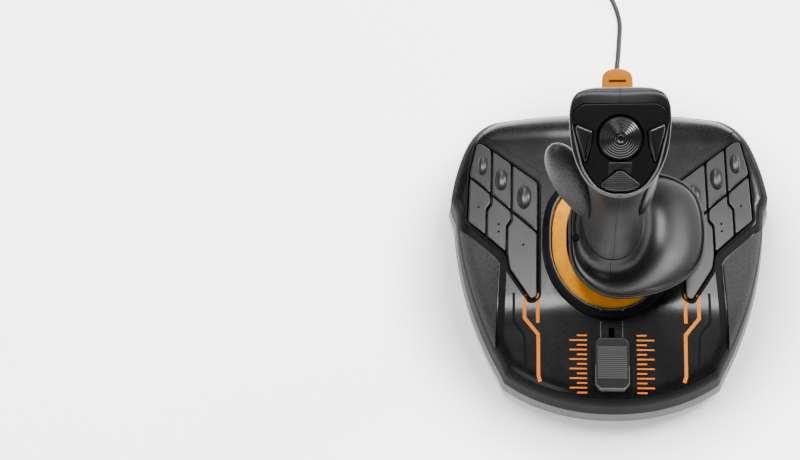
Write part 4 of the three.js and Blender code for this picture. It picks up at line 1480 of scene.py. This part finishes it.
class JOYSTICK_OT_slider(bpy.types.Operator):
    """Makes the throttle slider's cap on its stem, the light grey ribs across it and a light grey line along
    its near edge, both painted highlights
    """

    bl_idname = "joystick.slider"
    bl_label = "Throttle slider"

    def execute(self, context):
        lo, hi = Vector(low("throttle_slider")), Vector(high("throttle_slider"))
        middle, wide, long, corner = (lo.y + hi.y) / 2, hi.x / MM, (hi.y - lo.y) / 2 / MM, 3
        far = [(-wide, long - corner), (corner - wide, long), (wide - corner, long), (wide, long - corner)]
        plan = far + [(-x, -y) for x, y in far]
        plan = rounded([(x * MM, y * MM + middle) for x, y in plan], 1.2 * MM)
        cap = slab(
            "cap",
            plan,
            lambda x, y: cover_z(0, y) + 5.7 * MM,
            lambda x, y: cover_z(0, y) + 1.2 * MM,
            rim=0.9 * MM,
            steps=4,
        )
        stem = box("stem", (0, middle, cover_z(0, middle) - 5.5 * MM), (2.4 * MM, 12 * MM, 16 * MM))
        slope = math.atan(FRONT_SLOPE)
        count = sizes().ribs
        first = middle - 8.6 * MM
        pitch = 18 * MM / (count - 1)
        start = Vector((0, first, cover_z(0, first) + 5.6 * MM))
        step = Vector((0, pitch, pitch * math.tan(slope)))
        bar = (17.6 * MM, 0.55 * MM, 1.1 * MM)
        ribs = bar_row("ribs", count, start, step, bar, (slope, 0, 0), finish_of("slider"))
        slider = joined("throttle_cap", [cap, stem], 40)
        settle(slider, "slider", "matte_black_plastic", finish_of("slider"), "throttle_slider")
        ribs.name = "throttle_cap_ribs"
        settle(ribs, "slider", "matte_black_plastic", finish_of("ribs"))
        rim = slider_edge_highlight(middle, wide, long)
        settle(rim, "slider", "matte_black_plastic", finish_of("painted_highlight"))
        return {"FINISHED"}


def slider_edge_highlight(middle, wide, long):
    """A light grey line round the near half of the slider's cap: a painted highlight on its edge."""
    right = [(wide - 0.6, long * -0.1), (wide - 0.6, 3.2 - long), (wide - 3.2, 0.6 - long)]
    route = [Vector((x, y)) * MM for x, y in right + [(-x, y) for x, y in right[::-1]]]
    rings = []
    for i, p in enumerate(route):
        along = (route[min(i + 1, len(route) - 1)] - route[max(i - 1, 0)]).normalized()
        out = Vector((-along.y, along.x)) * 0.3 * MM
        z = cover_z(0, middle + p.y) + 5.45 * MM
        ring = []
        for k in range(8):
            a = 2 * math.pi * k / 8
            q = p + out * math.cos(a)
            ring.append((q.x, middle + q.y, z + 0.3 * MM * math.sin(a)))
        rings.append(ring)
    return loft("throttle_cap_edge_highlight", rings, sharp=60)


class JOYSTICK_OT_marks(bpy.types.Operator):
    """Makes the orange lines and ticks, near-black strips along each groove and over each flank's step as
    painted shade, the rear ridges and painted highlights on the track's edges
    """

    bl_idname = "joystick.marks"
    bl_label = "Printed marks"

    def execute(self, context):
        ink = finish_of("print")
        slope = math.atan(FRONT_SLOPE)
        count = sizes().ticks
        first, last = PIVOT.y - 58.9 * MM, PIVOT.y - 92.7 * MM
        pitch = (last - first) / (count - 1)
        parts = []
        for short in (True, False):
            start_y = first + (0 if short else pitch)
            number = (count + 1) // 2 if short else count // 2
            length = (6 if short else 10.5) * MM
            for side in (-1, 1):
                x = side * (15 * MM + length / 2)
                z = cover_z(x, start_y) - 0.15 * MM
                parts.append(
                    bar_row(
                        "ticks",
                        number,
                        (x, start_y, z),
                        (0, 2 * pitch, 2 * pitch * math.tan(slope)),
                        (length, 0.9 * MM, 0.5 * MM),
                        (slope, 0, 0),
                        ink,
                    )
                )
        for side in (-1, 1):
            for route, width in PRINTED_LINES:
                parts.append(ribbon(on_cover(route, side), width * MM, 0.1 * MM))
        marks = joined("printed_marks", parts)
        settle(marks, "base", "amber_plastic", ink)
        # A near-black strip along each groove, and one over each flank's step, which paints the step's shade.
        dark = []
        for side in (-1, 1):
            for route, width in ((GROOVE, 1.6), (STEP_SHADE, 4.4)):
                dark.append(ribbon(on_cover(route, side), width * MM, 1 * MM, 7 * MM))
        bands = joined("painted_step_shade_and_groove", dark)
        cut(bands, [cover_fill("over", 0.06 * MM)], "INTERSECT")
        cut(bands, [cover_fill("under", -0.3 * MM)])
        settle(bands, "base", "matte_black_plastic", finish_of("tray"))
        ridges = [ribbon(on_cover(RIDGE, side), 0.7 * MM, 0.3 * MM) for side in (-1, 1)]
        settle(joined("cover_ridges", ridges), "base", "gloss_black_plastic", finish_of("shell"))
        # light grey strips along the track's edges: painted highlights
        edges = [ribbon(on_cover(TRACK_EDGE, side), 0.5 * MM, 0.12 * MM) for side in (-1, 1)]
        settle(joined("track_edge_highlights", edges), "base", "gloss_black_plastic", finish_of("ribs"))
        return {"FINISHED"}


# Routes over the upper shell, in millimetres from the stick's axis, and the printed lines' widths.
PRINTED_LINES = [
    ([(52.8, -33), (52.8, -47.8), (44.4, -58), (44.3, -82.5), (43.2, -86)], 2.1),
    ([(44.7, -32.5), (44.7, -51)], 2.1),
]
GROOVE = [(59.5, -31.5), (59.4, -49.5), (53, -58), (52, -77)]
# STEP_SHADE: the route of the painted shade on the step between a key pod and its flank plate
STEP_SHADE = [(101, 24.8), (69.5, -5.2), (66.2, -10.5), (68.1, -75)]
RIDGE = [(81, 85), (41.5, 52)]
TRACK_EDGE = [(6.6, -50.5), (6.6, -62.5)]


def on_cover(route, side):
    """A route in metres on one side of the base."""
    return [(side * x * MM, PIVOT.y + y * MM) for x, y in route]


def ribbon(route, width, proud, depth=0.3 * MM):
    """A thin strip along a route on the upper shell."""
    fine = []
    for a, b in zip(route, route[1:]):
        a, b = Vector(a), Vector(b)
        steps = max(2, int((b - a).length / (2 * MM)))
        fine += [a + (b - a) * k / steps for k in range(steps)]
    fine.append(Vector(route[-1]))
    rings = []
    for i, p in enumerate(fine):
        along = (fine[min(i + 1, len(fine) - 1)] - fine[max(i - 1, 0)]).normalized()
        out = Vector((-along.y, along.x)) * width / 2
        before = (p - fine[max(i - 1, 0)]).normalized() if i else along
        out /= max(0.7, along.dot(before))
        ring = []
        for q, up in ((p - out, proud), (p + out, proud), (p + out, -depth), (p - out, -depth)):
            ring.append((q.x, q.y, cover_z(q.x, q.y) + up))
        rings.append(ring)
    return loft("strip", rings)


# ---- Stick ----

# Sections from the neck up: share of the height, half width, reach to the user, reach away,
# squareness towards the user, squareness away.
GRIP_SECTIONS = [
    (0, 18, 28, 26, 2.2, 2.2),
    (0.14, 15.6, 25, 24, 2.2, 2.3),
    (0.32, 15, 22.5, 25, 2.2, 2.4),
    (0.5, 17, 22, 27, 2.1, 2.6),
    (0.62, 20, 24, 29.5, 2.1, 2.9),
    (0.74, 23.6, 27.6, 30.5, 2.1, 3.5),
    (0.82, 25.4, 27.8, 30.3, 2.15, 4),
    (0.92, 27.4, 28, 28.8, 2.3, 4.4),
    (1, 26.9, 28, 24.5, 2.4, 4.6),
]


def grip_section(share):
    """The grip's section at a share of its height, joined smoothly between the sections above."""
    share = min(max(share, 0.0), 1.0)
    k = max(i for i, s in enumerate(GRIP_SECTIONS) if s[0] <= share)
    k = min(k, len(GRIP_SECTIONS) - 2)
    a, b = GRIP_SECTIONS[k], GRIP_SECTIONS[k + 1]
    before = GRIP_SECTIONS[max(k - 1, 0)]
    after = GRIP_SECTIONS[min(k + 2, len(GRIP_SECTIONS) - 1)]
    t = (share - a[0]) / (b[0] - a[0])
    width = b[0] - a[0]
    made = []
    for i in range(1, 6):
        slope_a = (b[i] - before[i]) / max(b[0] - before[0], 1e-6) * width
        slope_b = (after[i] - a[i]) / max(after[0] - a[0], 1e-6) * width
        h = 2 * t**3 - 3 * t**2 + 1, t**3 - 2 * t**2 + t, -2 * t**3 + 3 * t**2, t**3 - t**2
        made.append(h[0] * a[i] + h[1] * slope_a + h[2] * b[i] + h[3] * slope_b)
    return made


def grip_point(angle, z, grow=0.0):
    """A point of the grip's surface at an angle about the stick, grown by an amount."""
    half, user, far, user_power, far_power = grip_section((z - NECK) / (HEAD_TOP - NECK))
    c, s = math.cos(angle), math.sin(angle)
    reach = (far if s > 0 else user) * MM + grow
    power = far_power if s > 0 else user_power
    radius = (abs(c / (half * MM + grow)) ** power + abs(s / reach) ** power) ** (-1 / power)
    return Vector((radius * c, PIVOT.y + radius * s, z))


def face_z(y):
    return FACE_CENTRE.z + (y - FACE_CENTRE.y) * math.tan(FACE_TILT)


def column_top(angle, grow=0.0):
    """The height at which a column of the grip meets the sloping face or the head's flat top."""
    lo, hi = NECK, HEAD_TOP
    for _ in range(40):
        mid = (lo + hi) / 2
        if mid < face_z(grip_point(angle, mid, grow).y):
            lo = mid
        else:
            hi = mid
    return lo


# Outlines on the sloping face in millimetres, from its centre. Y runs up the slope.
FACE_OUTLINE = [
    (-20, 18.5), (20, 18.5), (25, 15), (25.3, 9),
    (20.4, -12.5), (16.5, -20.5), (11.5, -26.5), (4.5, -29.6),
    (-4.5, -29.6), (-11.5, -26.5), (-16.5, -20.5), (-20.4, -12.5), (-25.3, 9), (-25, 15),
]
BUTTON_OUTLINE = [(14.6, 4), (23.8, 7.8), (23.9, 4), (19.9, -12.5), (18, -13.2), (15, -2.5)]
FAN_OUTLINE = [
    (-1.5, -17.6), (1.5, -17.6), (10.6, -24.6), (9.6, -26.2),
    (4, -28.4), (-4, -28.4), (-9.6, -26.2), (-10.6, -24.6),
]
BUTTON_BOTTOM = -3.2 * MM
TAB_OUTLINE = [(-6.3, -12.9), (6.3, -12.9), (6.3, -20.4), (1.9, -17), (-1.9, -17), (-6.3, -20.4)]


def in_mm(points):
    return [(x * MM, y * MM) for x, y in points]


def ray_out(outline, centre, direction):
    """Where a ray from a centre leaves an outline."""
    best = None
    for a, b in zip(outline, outline[1:] + outline[:1]):
        a, b = Vector(a) - centre, Vector(b) - centre
        edge = b - a
        cross = direction.x * edge.y - direction.y * edge.x
        if abs(cross) < 1e-12:
            continue
        t = (a.x * edge.y - a.y * edge.x) / cross
        u = (a.x * direction.y - a.y * direction.x) / cross
        if t > 0 and -1e-6 <= u <= 1 + 1e-6 and (best is None or t > best):
            best = t
    return centre + direction * best


def grip_body():
    """Both grip shells as one tube, rounded over into the recess of the head's face."""
    count = 168
    plate = inset(in_mm(FACE_OUTLINE), -0.3 * MM)
    columns = []
    for i in range(count):
        angle = -2 * math.pi * i / count + 1e-4
        top = column_top(angle)
        crest = (2.2 + 3.4 * max(0.0, math.sin(angle)) ** 2) * MM
        column = [grip_point(angle, mix(NECK + 0.6 * MM, top - crest, k / 44)) for k in range(45)]
        column.insert(0, grip_point(angle, NECK, -0.5 * MM))
        corner = grip_point(angle, top)
        direction = Vector((math.cos(angle), math.sin(angle)))
        centre = Vector((0, -4 * MM))
        u = ray_out(plate, centre, direction)
        mouth = TO_FACE @ Vector((u.x, u.y, 0))
        start, inward = column[-1], (mouth - corner)
        share = min(0.8, crest / max(inward.length, 0.5 * MM))
        end = corner + inward * share
        for k in range(1, 7):
            t = k / 6
            column.append(start * (1 - t) ** 2 + corner * 2 * t * (1 - t) + end * t * t)
        column.append(mouth + inward.normalized() * -0.15 * MM)
        column.append(TO_FACE @ Vector((u.x, u.y, -0.3 * MM)))
        column.append(TO_FACE @ Vector((u.x, u.y, -2.7 * MM)))
        inside_top = column_top(angle, -3 * MM) - 7 * MM
        for k in range(13):
            column.append(grip_point(angle, mix(inside_top, NECK, k / 12), -3 * MM))
        columns.append(column)
    rings = [list(ring) for ring in zip(*columns)]
    return loft("grip_tube", rings, closed=True, sharp=40)


def trigger_slot():
    """A cutter for the slot that the trigger swings in."""
    hinge = Vector(joint("trigger_pull")["pos_m"])
    return box("slot", (0, hinge.y + 8 * MM, hinge.z - 3 * MM), (18.2 * MM, 24 * MM, 18 * MM))


class JOYSTICK_OT_grip(bpy.types.Operator):
    """Makes the grip's two shells, with the trigger's slot, and the dark web in their seam"""

    bl_idname = "joystick.grip"
    bl_label = "Grip"

    def execute(self, context):
        for name, side in SIDES:
            shell = grip_body()
            half = box("half", (side * 0.05015, 0, 0.13), (0.1, 0.2, 0.3))
            cut(shell, [half], "INTERSECT")
            room = slab("room", inset(in_mm(on_side(BUTTON_OUTLINE, side)), -0.5 * MM), -0.35 * MM, -6.5 * MM)
            room.data.transform(TO_FACE)
            cut(shell, [trigger_slot(), room], sharp=40)
            shell.name = f"grip_{name}"
            settle(shell, "grip", "matte_black_plastic", finish_of("grip"), f"grip_shell_{name}")
        seam = grip_body()
        cut(seam, [box("web", (0, 0, 0.13), (0.27 * MM, 0.2, 0.3))], "INTERSECT")
        cut(seam, [trigger_slot()])
        seam.name = "grip_seam"
        settle(seam, "grip", "matte_black_plastic", finish_of("tray"))
        return {"FINISHED"}


class JOYSTICK_OT_head(bpy.types.Operator):
    """Makes the head's face plate with a light grey line round it as a painted highlight, and its ribbed tab
    """

    bl_idname = "joystick.head"
    bl_label = "Head face"

    def execute(self, context):
        outline = rounded(in_mm(FACE_OUTLINE), 2 * MM)
        plate = slab("face_plate", outline, 0.4 * MM, -2.4 * MM, rim=0.5 * MM)
        cutters = [drilled("hat_hole", 13 * MM, 9 * MM, 96)]
        plans = [on_side(BUTTON_OUTLINE, side) for side in (-1, 1)] + [on_side(FAN_OUTLINE, 1)]
        for plan in plans:
            room = rounded(inset(in_mm(plan), -0.5 * MM), 1.2 * MM)
            cutters.append(slab("room", room, 9 * MM, -9 * MM))
        cut(plate, cutters)
        plate.data.transform(TO_FACE)
        settle(plate, "grip", "matte_black_plastic", finish_of("face"), "head_face")
        painted_highlight = face_rim_highlight()
        settle(painted_highlight, "grip", "matte_black_plastic", finish_of("painted_highlight"))
        tab = face_tab()
        settle(tab, "grip", "matte_black_plastic", finish_of("fan"))
        return {"FINISHED"}


def face_rim_highlight():
    """A light grey line round the near half of the face: a painted highlight on the face's rim."""
    right = ((25.9, 8), (21.1, -12.7), (17.2, -20.9), (11.9, -27.1), (4.5, -30.2), (0, -30.3))
    route = smooth_path([Vector(p) * MM for p in right], 8)
    route = route + [Vector((-p.x, p.y)) for p in route[::-1][1:]]
    rings = []
    for i, p in enumerate(route):
        along = (route[min(i + 1, len(route) - 1)] - route[max(i - 1, 0)]).normalized()
        out = Vector((-along.y, along.x)) * 0.5 * MM
        taper = min(1.0, min(i, len(route) - 1 - i) / 5 + 0.1)
        ring = []
        for k in range(10):
            a = 2 * math.pi * k / 10
            q = p + out * math.cos(a) * taper
            ring.append(TO_FACE @ Vector((q.x, q.y, 0.4 * MM + 0.5 * MM * math.sin(a) * taper)))
        rings.append(ring)
    return loft("face_rim_highlight", rings, sharp=60)


def face_tab():
    """The ribbed tab between the hat and the fan-shaped button."""
    plan = rounded(in_mm(on_side(TAB_OUTLINE, 1)), 0.6 * MM)
    body = slab("tab", plan, 1.0 * MM, 0.2 * MM, rim=0.4 * MM)
    start, bar = (0, -16.4 * MM, 1.05 * MM), (11 * MM, 0.35 * MM, 0.4 * MM)
    ribs = bar_row("tab_ribs", 4, start, (0, 0.85 * MM, 0), bar, (0, 0, 0), finish_of("button"))
    tab = joined("face_tab", [body, ribs])
    tab.data.transform(TO_FACE)
    return tab


class JOYSTICK_OT_switches(bpy.types.Operator):
    """Makes the stepped hat switch and the three buttons of the head"""

    bl_idname = "joystick.switches"
    bl_label = "Hat and buttons"

    def execute(self, context):
        hat = make_hat()
        settle(hat, "hat", "matte_black_plastic", finish_of("hat"), "hat_cap")
        for name, side in SIDES:
            plan = in_mm(on_side(BUTTON_OUTLINE, side))
            button = slab(
                f"side_button_{name}",
                plan,
                lambda x, y: (1.7 + 0.09 * y / MM) * MM,
                BUTTON_BOTTOM,
                rim=1.6 * MM,
                steps=6,
                corner=1.5 * MM,
            )
            button.data.transform(TO_FACE)
            settle(button, f"button_{name}", "gloss_black_plastic", finish_of("button"), f"button_{name}")
        plan = rounded(in_mm(on_side(FAN_OUTLINE, 1)), 0.7 * MM)
        fan = slab("fan_plate", plan, 2.0 * MM, BUTTON_BOTTOM, rim=0.6 * MM, steps=4)
        ribs = []
        for k in range(8):
            y = (-27.4 + 1.15 * k) * MM
            bar = (max(2.0, min(15.5, 21.2 - 2.1 * k)) * MM, 0.25 * MM, 0.4 * MM)
            ribs.append(bar_row("rib", 1, (0, y, 2 * MM), (0, 0, 0), bar, (0, 0, 0), finish_of("ribs")))
        fan.name = "fan_button"
        fan.data.transform(TO_FACE)
        settle(fan, "button_fan", "gloss_black_plastic", finish_of("fan"), "button_fan")
        ribs = joined("fan_ribs", ribs)
        ribs.data.transform(TO_FACE)
        settle(ribs, "button_fan", "gloss_black_plastic", finish_of("ribs"))
        return {"FINISHED"}


def area(points):
    return sum(a[0] * b[1] - b[0] * a[1] for a, b in zip(points, points[1:] + points[:1])) / 2


def make_hat():
    """The hat switch: rings that step up to a small hollowed knob."""
    steps = sizes().hat_steps
    profile = [[0, -6], [3, -6], [3, -0.2], [11.3, -0.2], [11.5, 0], [11.5, 1.0], [11.3, 1.3], [10.9, 1.4]]
    for k in range(steps):
        outer, inner = mix(10.9, 3.3, k / steps), mix(10.9, 3.3, (k + 1) / steps)
        base, top = mix(1.4, 5.0, k / steps), mix(1.4, 5.0, (k + 1) / steps)
        profile += [[outer - 0.1, base - 0.1], [outer - 0.2, base - 0.05]]
        profile += [[outer - 0.75, top - 0.05], [outer - 0.85, top], [inner, top]]
    profile += [[3.1, 4.9], [3.0, 6.1], [2.7, 6.5], [2.2, 6.6], [1.7, 6.4], [1.3, 5.9], [0.4, 5.7], [0, 5.7]]
    return spun("hat_rings", [[a * MM, b * MM] for a, b in profile], 96, TO_FACE)


class JOYSTICK_OT_trigger(bpy.types.Operator):
    """Makes the amber trigger, hooked at its foot and slotted across its top"""

    bl_idname = "joystick.trigger"
    bl_label = "Trigger"

    def execute(self, context):
        hinge = Vector(joint("trigger_pull")["pos_m"])
        plan = [(-3.5, 4.5), (10, 5.5)] + quadratic((10, 5.5), (30, 6), (32.5, -3), 10)[1:]
        plan += quadratic((32.5, -3), (25, -17), (26, -33), 12) + [(26, -33), (31, -41), (27, -44), (21, -37)]
        plan += quadratic((21, -37), (20, -14), (9, -9), 12)[1:] + [(9, -9), (-3.5, -4.5)]
        plan = in_mm(plan)
        if area(plan) > 0:
            plan = plan[::-1]
        half, rim = 8.5 * MM, 1.0 * MM
        rings = []
        for sign in (-1, 1):
            side = []
            for k in range(6):
                angle = math.pi / 2 * k / 5
                reach = rim * (1 - math.cos(angle))
                depth = half - rim * (1 - math.sin(angle))
                side.append([(sign * depth, hinge.y + y, hinge.z + z) for y, z in inset(plan, reach)])
            rings += side[::-1] if sign < 0 else side
        trigger = loft("trigger_blade", rings, sharp=45)
        centre = hinge.y + 20 * MM
        turns = [math.pi * (1 - k / 24) for k in range(25)]
        arc = [(half * math.cos(a), centre + half * math.sin(a)) for a in turns]
        nose = [(-half, hinge.y - 10 * MM), *arc, (half, hinge.y - 10 * MM)]
        cut(trigger, [slab("nose", nose, hinge.z + 20 * MM, hinge.z - 60 * MM)], "INTERSECT", sharp=50)
        bevelled(trigger, 0.9 * MM, 3, 50)
        slot = box("slot", (0, hinge.y + 18.6 * MM, hinge.z + 6 * MM), (9.5 * MM, 1.8 * MM, 8 * MM))
        cut(trigger, [slot], sharp=45)
        settle(trigger, "trigger", "amber_plastic", finish_of("amber_clear"), "trigger")
        return {"FINISHED"}


class JOYSTICK_OT_palm_rest(bpy.types.Operator):
    """Makes the broad palm rest with its raised rim"""

    bl_idname = "joystick.palm_rest"
    bl_label = "Palm rest"

    def execute(self, context):
        corners = [(56.5, -3), (50, -27), (26, -42.5), (-3, -45), (-22, -30)]
        corners += [(-26, -6), (-22, 20), (2, 37), (32, 37), (51.5, 24)]
        rim = [tuple(p) for p in smooth_path(in_mm(corners), 14, closed=True)]
        angles = [math.atan2(y, x) for x, y in rim]
        neck = [grip_point(a, NECK) for a in angles]
        neck = [(p.x, p.y - PIVOT.y) for p in neck]

        def between(t):
            return [(mix(x, nx, t), mix(y, ny, t)) for (x, y), (nx, ny) in zip(rim, neck)]

        def bore(radius):
            return [(radius * math.cos(a), radius * math.sin(a)) for a in angles]

        heights = [(0.1, 4.65), (0.2, 4.3), (0.32, 4.4), (0.45, 4.9), (0.58, 5.8), (0.7, 7.4), (0.8, 9.4)]
        heights += [(0.88, 12), (0.94, 15), (0.98, 17.6)]
        rings = [lift(inset(rim, 3 * MM), SHELF), lift(inset(rim, 1.6 * MM), SHELF + 0.7 * MM)]
        rings += [lift(inset(rim, 0.4 * MM), SHELF + 2 * MM), lift(rim, SHELF + 3.2 * MM)]
        rings += [lift(inset(rim, 0.1 * MM), SHELF + 4.4 * MM), lift(inset(rim, 0.45 * MM), SHELF + 5.2 * MM)]
        rings += [lift(inset(rim, 1.0 * MM), SHELF + 5.5 * MM), lift(inset(rim, 1.6 * MM), SHELF + 5.3 * MM)]
        rings += [lift(inset(rim, 2.2 * MM), SHELF + 4.8 * MM)]
        rings += [lift(between(t), SHELF + z * MM) for t, z in heights]
        rings += [lift(neck, NECK - 0.6 * MM), lift(bore(5.7 * MM), NECK - 0.6 * MM)]
        rings += [lift(bore(5.7 * MM), SHELF - 5 * MM), lift(bore(16 * MM), SHELF - 5 * MM)]
        shelf = loft("palm_dish", rings, closed=True, sharp=50)
        seam = box("seam", (-1.5 * MM, -36 * MM, SHELF + 10.4 * MM), (0.25 * MM, 30 * MM, 12 * MM))
        cut(shelf, [seam], sharp=50)
        shelf.data.transform(Matrix.Translation((0, PIVOT.y, 0)))
        settle(shelf, "grip", "matte_black_plastic", finish_of("palm"), "palm_rest")
        return {"FINISHED"}


def pebble(name, radii, broader, at, lean):
    """An ellipsoid that is broader towards its top, turned and placed."""
    made = ellipsoid(name, (0, 0, 0), radii, 64, 40)
    for vertex in made.data.vertices:
        wide = 1 + broader * vertex.co.z / radii[2]
        vertex.co.x *= wide
        vertex.co.y *= wide
    made.data.transform(Matrix.Translation(at) @ lean)
    return made


class JOYSTICK_OT_flanks(bpy.types.Operator):
    """Makes the grained thumb rest and the leaf-shaped cover on the neck"""

    bl_idname = "joystick.flanks"
    bl_label = "Thumb rest and side cover"

    def execute(self, context):
        grip_height = HEAD_TOP - NECK
        keep_off = loft("keep_off", [
            [grip_point(-2 * math.pi * i / 96, mix(NECK, HEAD_TOP, k / 40), 0.3 * MM) for i in range(96)]
            for k in range(41)
        ])
        at = (-24.5 * MM, PIVOT.y + 2 * MM, NECK + 0.38 * grip_height)
        lean = Matrix.Rotation(-0.28, 4, "X") @ Matrix.Rotation(-0.36, 4, "Y")
        rest = pebble("thumb_pebble", (10.5 * MM, 9.5 * MM, 32 * MM), 0.22, at, lean)
        cut(rest, [keep_off], sharp=40, keep=True)
        settle(rest, "grip", "grained_grey_plastic", finish_of("thumb"), "thumb_rest")
        at = (17.6 * MM, PIVOT.y + 1 * MM, NECK + 0.41 * grip_height)
        lean = Matrix.Rotation(-0.12, 4, "X") @ Matrix.Rotation(0.14, 4, "Y")
        leaf = pebble("neck_leaf", (5 * MM, 12 * MM, 31 * MM), -0.1, at, lean)
        cut(leaf, [keep_off], sharp=40)
        settle(leaf, "grip", "matte_black_plastic", finish_of("button"), "side_cover")
        return {"FINISHED"}


# ---- Frame parts that keep their own shape ----

KEPT = {
    "tray": ("palm_screw", "throttle_pot"),
    "steel": (
        "trigger_pin", "hat_rocker", "gimbal_frame", "gimbal_ring",
        "stick_shaft", "centring_spring", "ballast_plate", "usb_plug_shell",
    ),
    "board": (
        "grip_board", "trigger_switch", "main_board",
        "sensor_board", "key_board_left", "key_board_right",
    ),
    "rubber": ("foot_1", "foot_2", "foot_3", "foot_4"),
}


class JOYSTICK_OT_finishes(bpy.types.Operator):
    """Gives the frame's own metal, board, rubber and tray parts their finishes"""

    bl_idname = "joystick.finishes"
    bl_label = "Frame finishes"

    def execute(self, context):
        for kind, nodes in KEPT.items():
            for node in nodes:
                for slot in frame["nodes"][node].material_slots:
                    slot.material = finish_of(kind)
        return {"FINISHED"}


# ---- Panel and registration ----

OPERATORS = (
    JOYSTICK_OT_stage,
    JOYSTICK_OT_lead,
    JOYSTICK_OT_lower_shell,
    JOYSTICK_OT_upper_shell,
    JOYSTICK_OT_wings,
    JOYSTICK_OT_keys,
    JOYSTICK_OT_socket,
    JOYSTICK_OT_slider,
    JOYSTICK_OT_marks,
    JOYSTICK_OT_grip,
    JOYSTICK_OT_head,
    JOYSTICK_OT_switches,
    JOYSTICK_OT_trigger,
    JOYSTICK_OT_palm_rest,
    JOYSTICK_OT_flanks,
    JOYSTICK_OT_finishes,
)


class JOYSTICK_PT_panel(bpy.types.Panel):
    """Lists the joystick's sizes, colours and pieces"""

    bl_label = "Flight joystick"
    bl_idname = "JOYSTICK_PT_panel"
    bl_space_type = "VIEW_3D"
    bl_region_type = "UI"
    bl_category = "Joystick"

    def draw(self, context):
        layout = self.layout
        for group in (context.scene.joystick_sizes, context.scene.joystick_colours):
            for name in group.__annotations__:
                layout.prop(group, name)
        for operator in OPERATORS:
            layout.operator(operator.bl_idname)


CLASSES = (JoystickSizes, JoystickColours, *OPERATORS, JOYSTICK_PT_panel)


def register():
    for cls in CLASSES:
        bpy.utils.register_class(cls)
    bpy.types.Scene.joystick_sizes = PointerProperty(type=JoystickSizes)
    bpy.types.Scene.joystick_colours = PointerProperty(type=JoystickColours)


def unregister():
    del bpy.types.Scene.joystick_colours
    del bpy.types.Scene.joystick_sizes
    for cls in reversed(CLASSES):
        bpy.utils.unregister_class(cls)


def main():
    register()
    for operator in OPERATORS:
        group, name = operator.bl_idname.split(".")
        getattr(getattr(bpy.ops, group), name)()


if __name__ == "__main__":
    main()
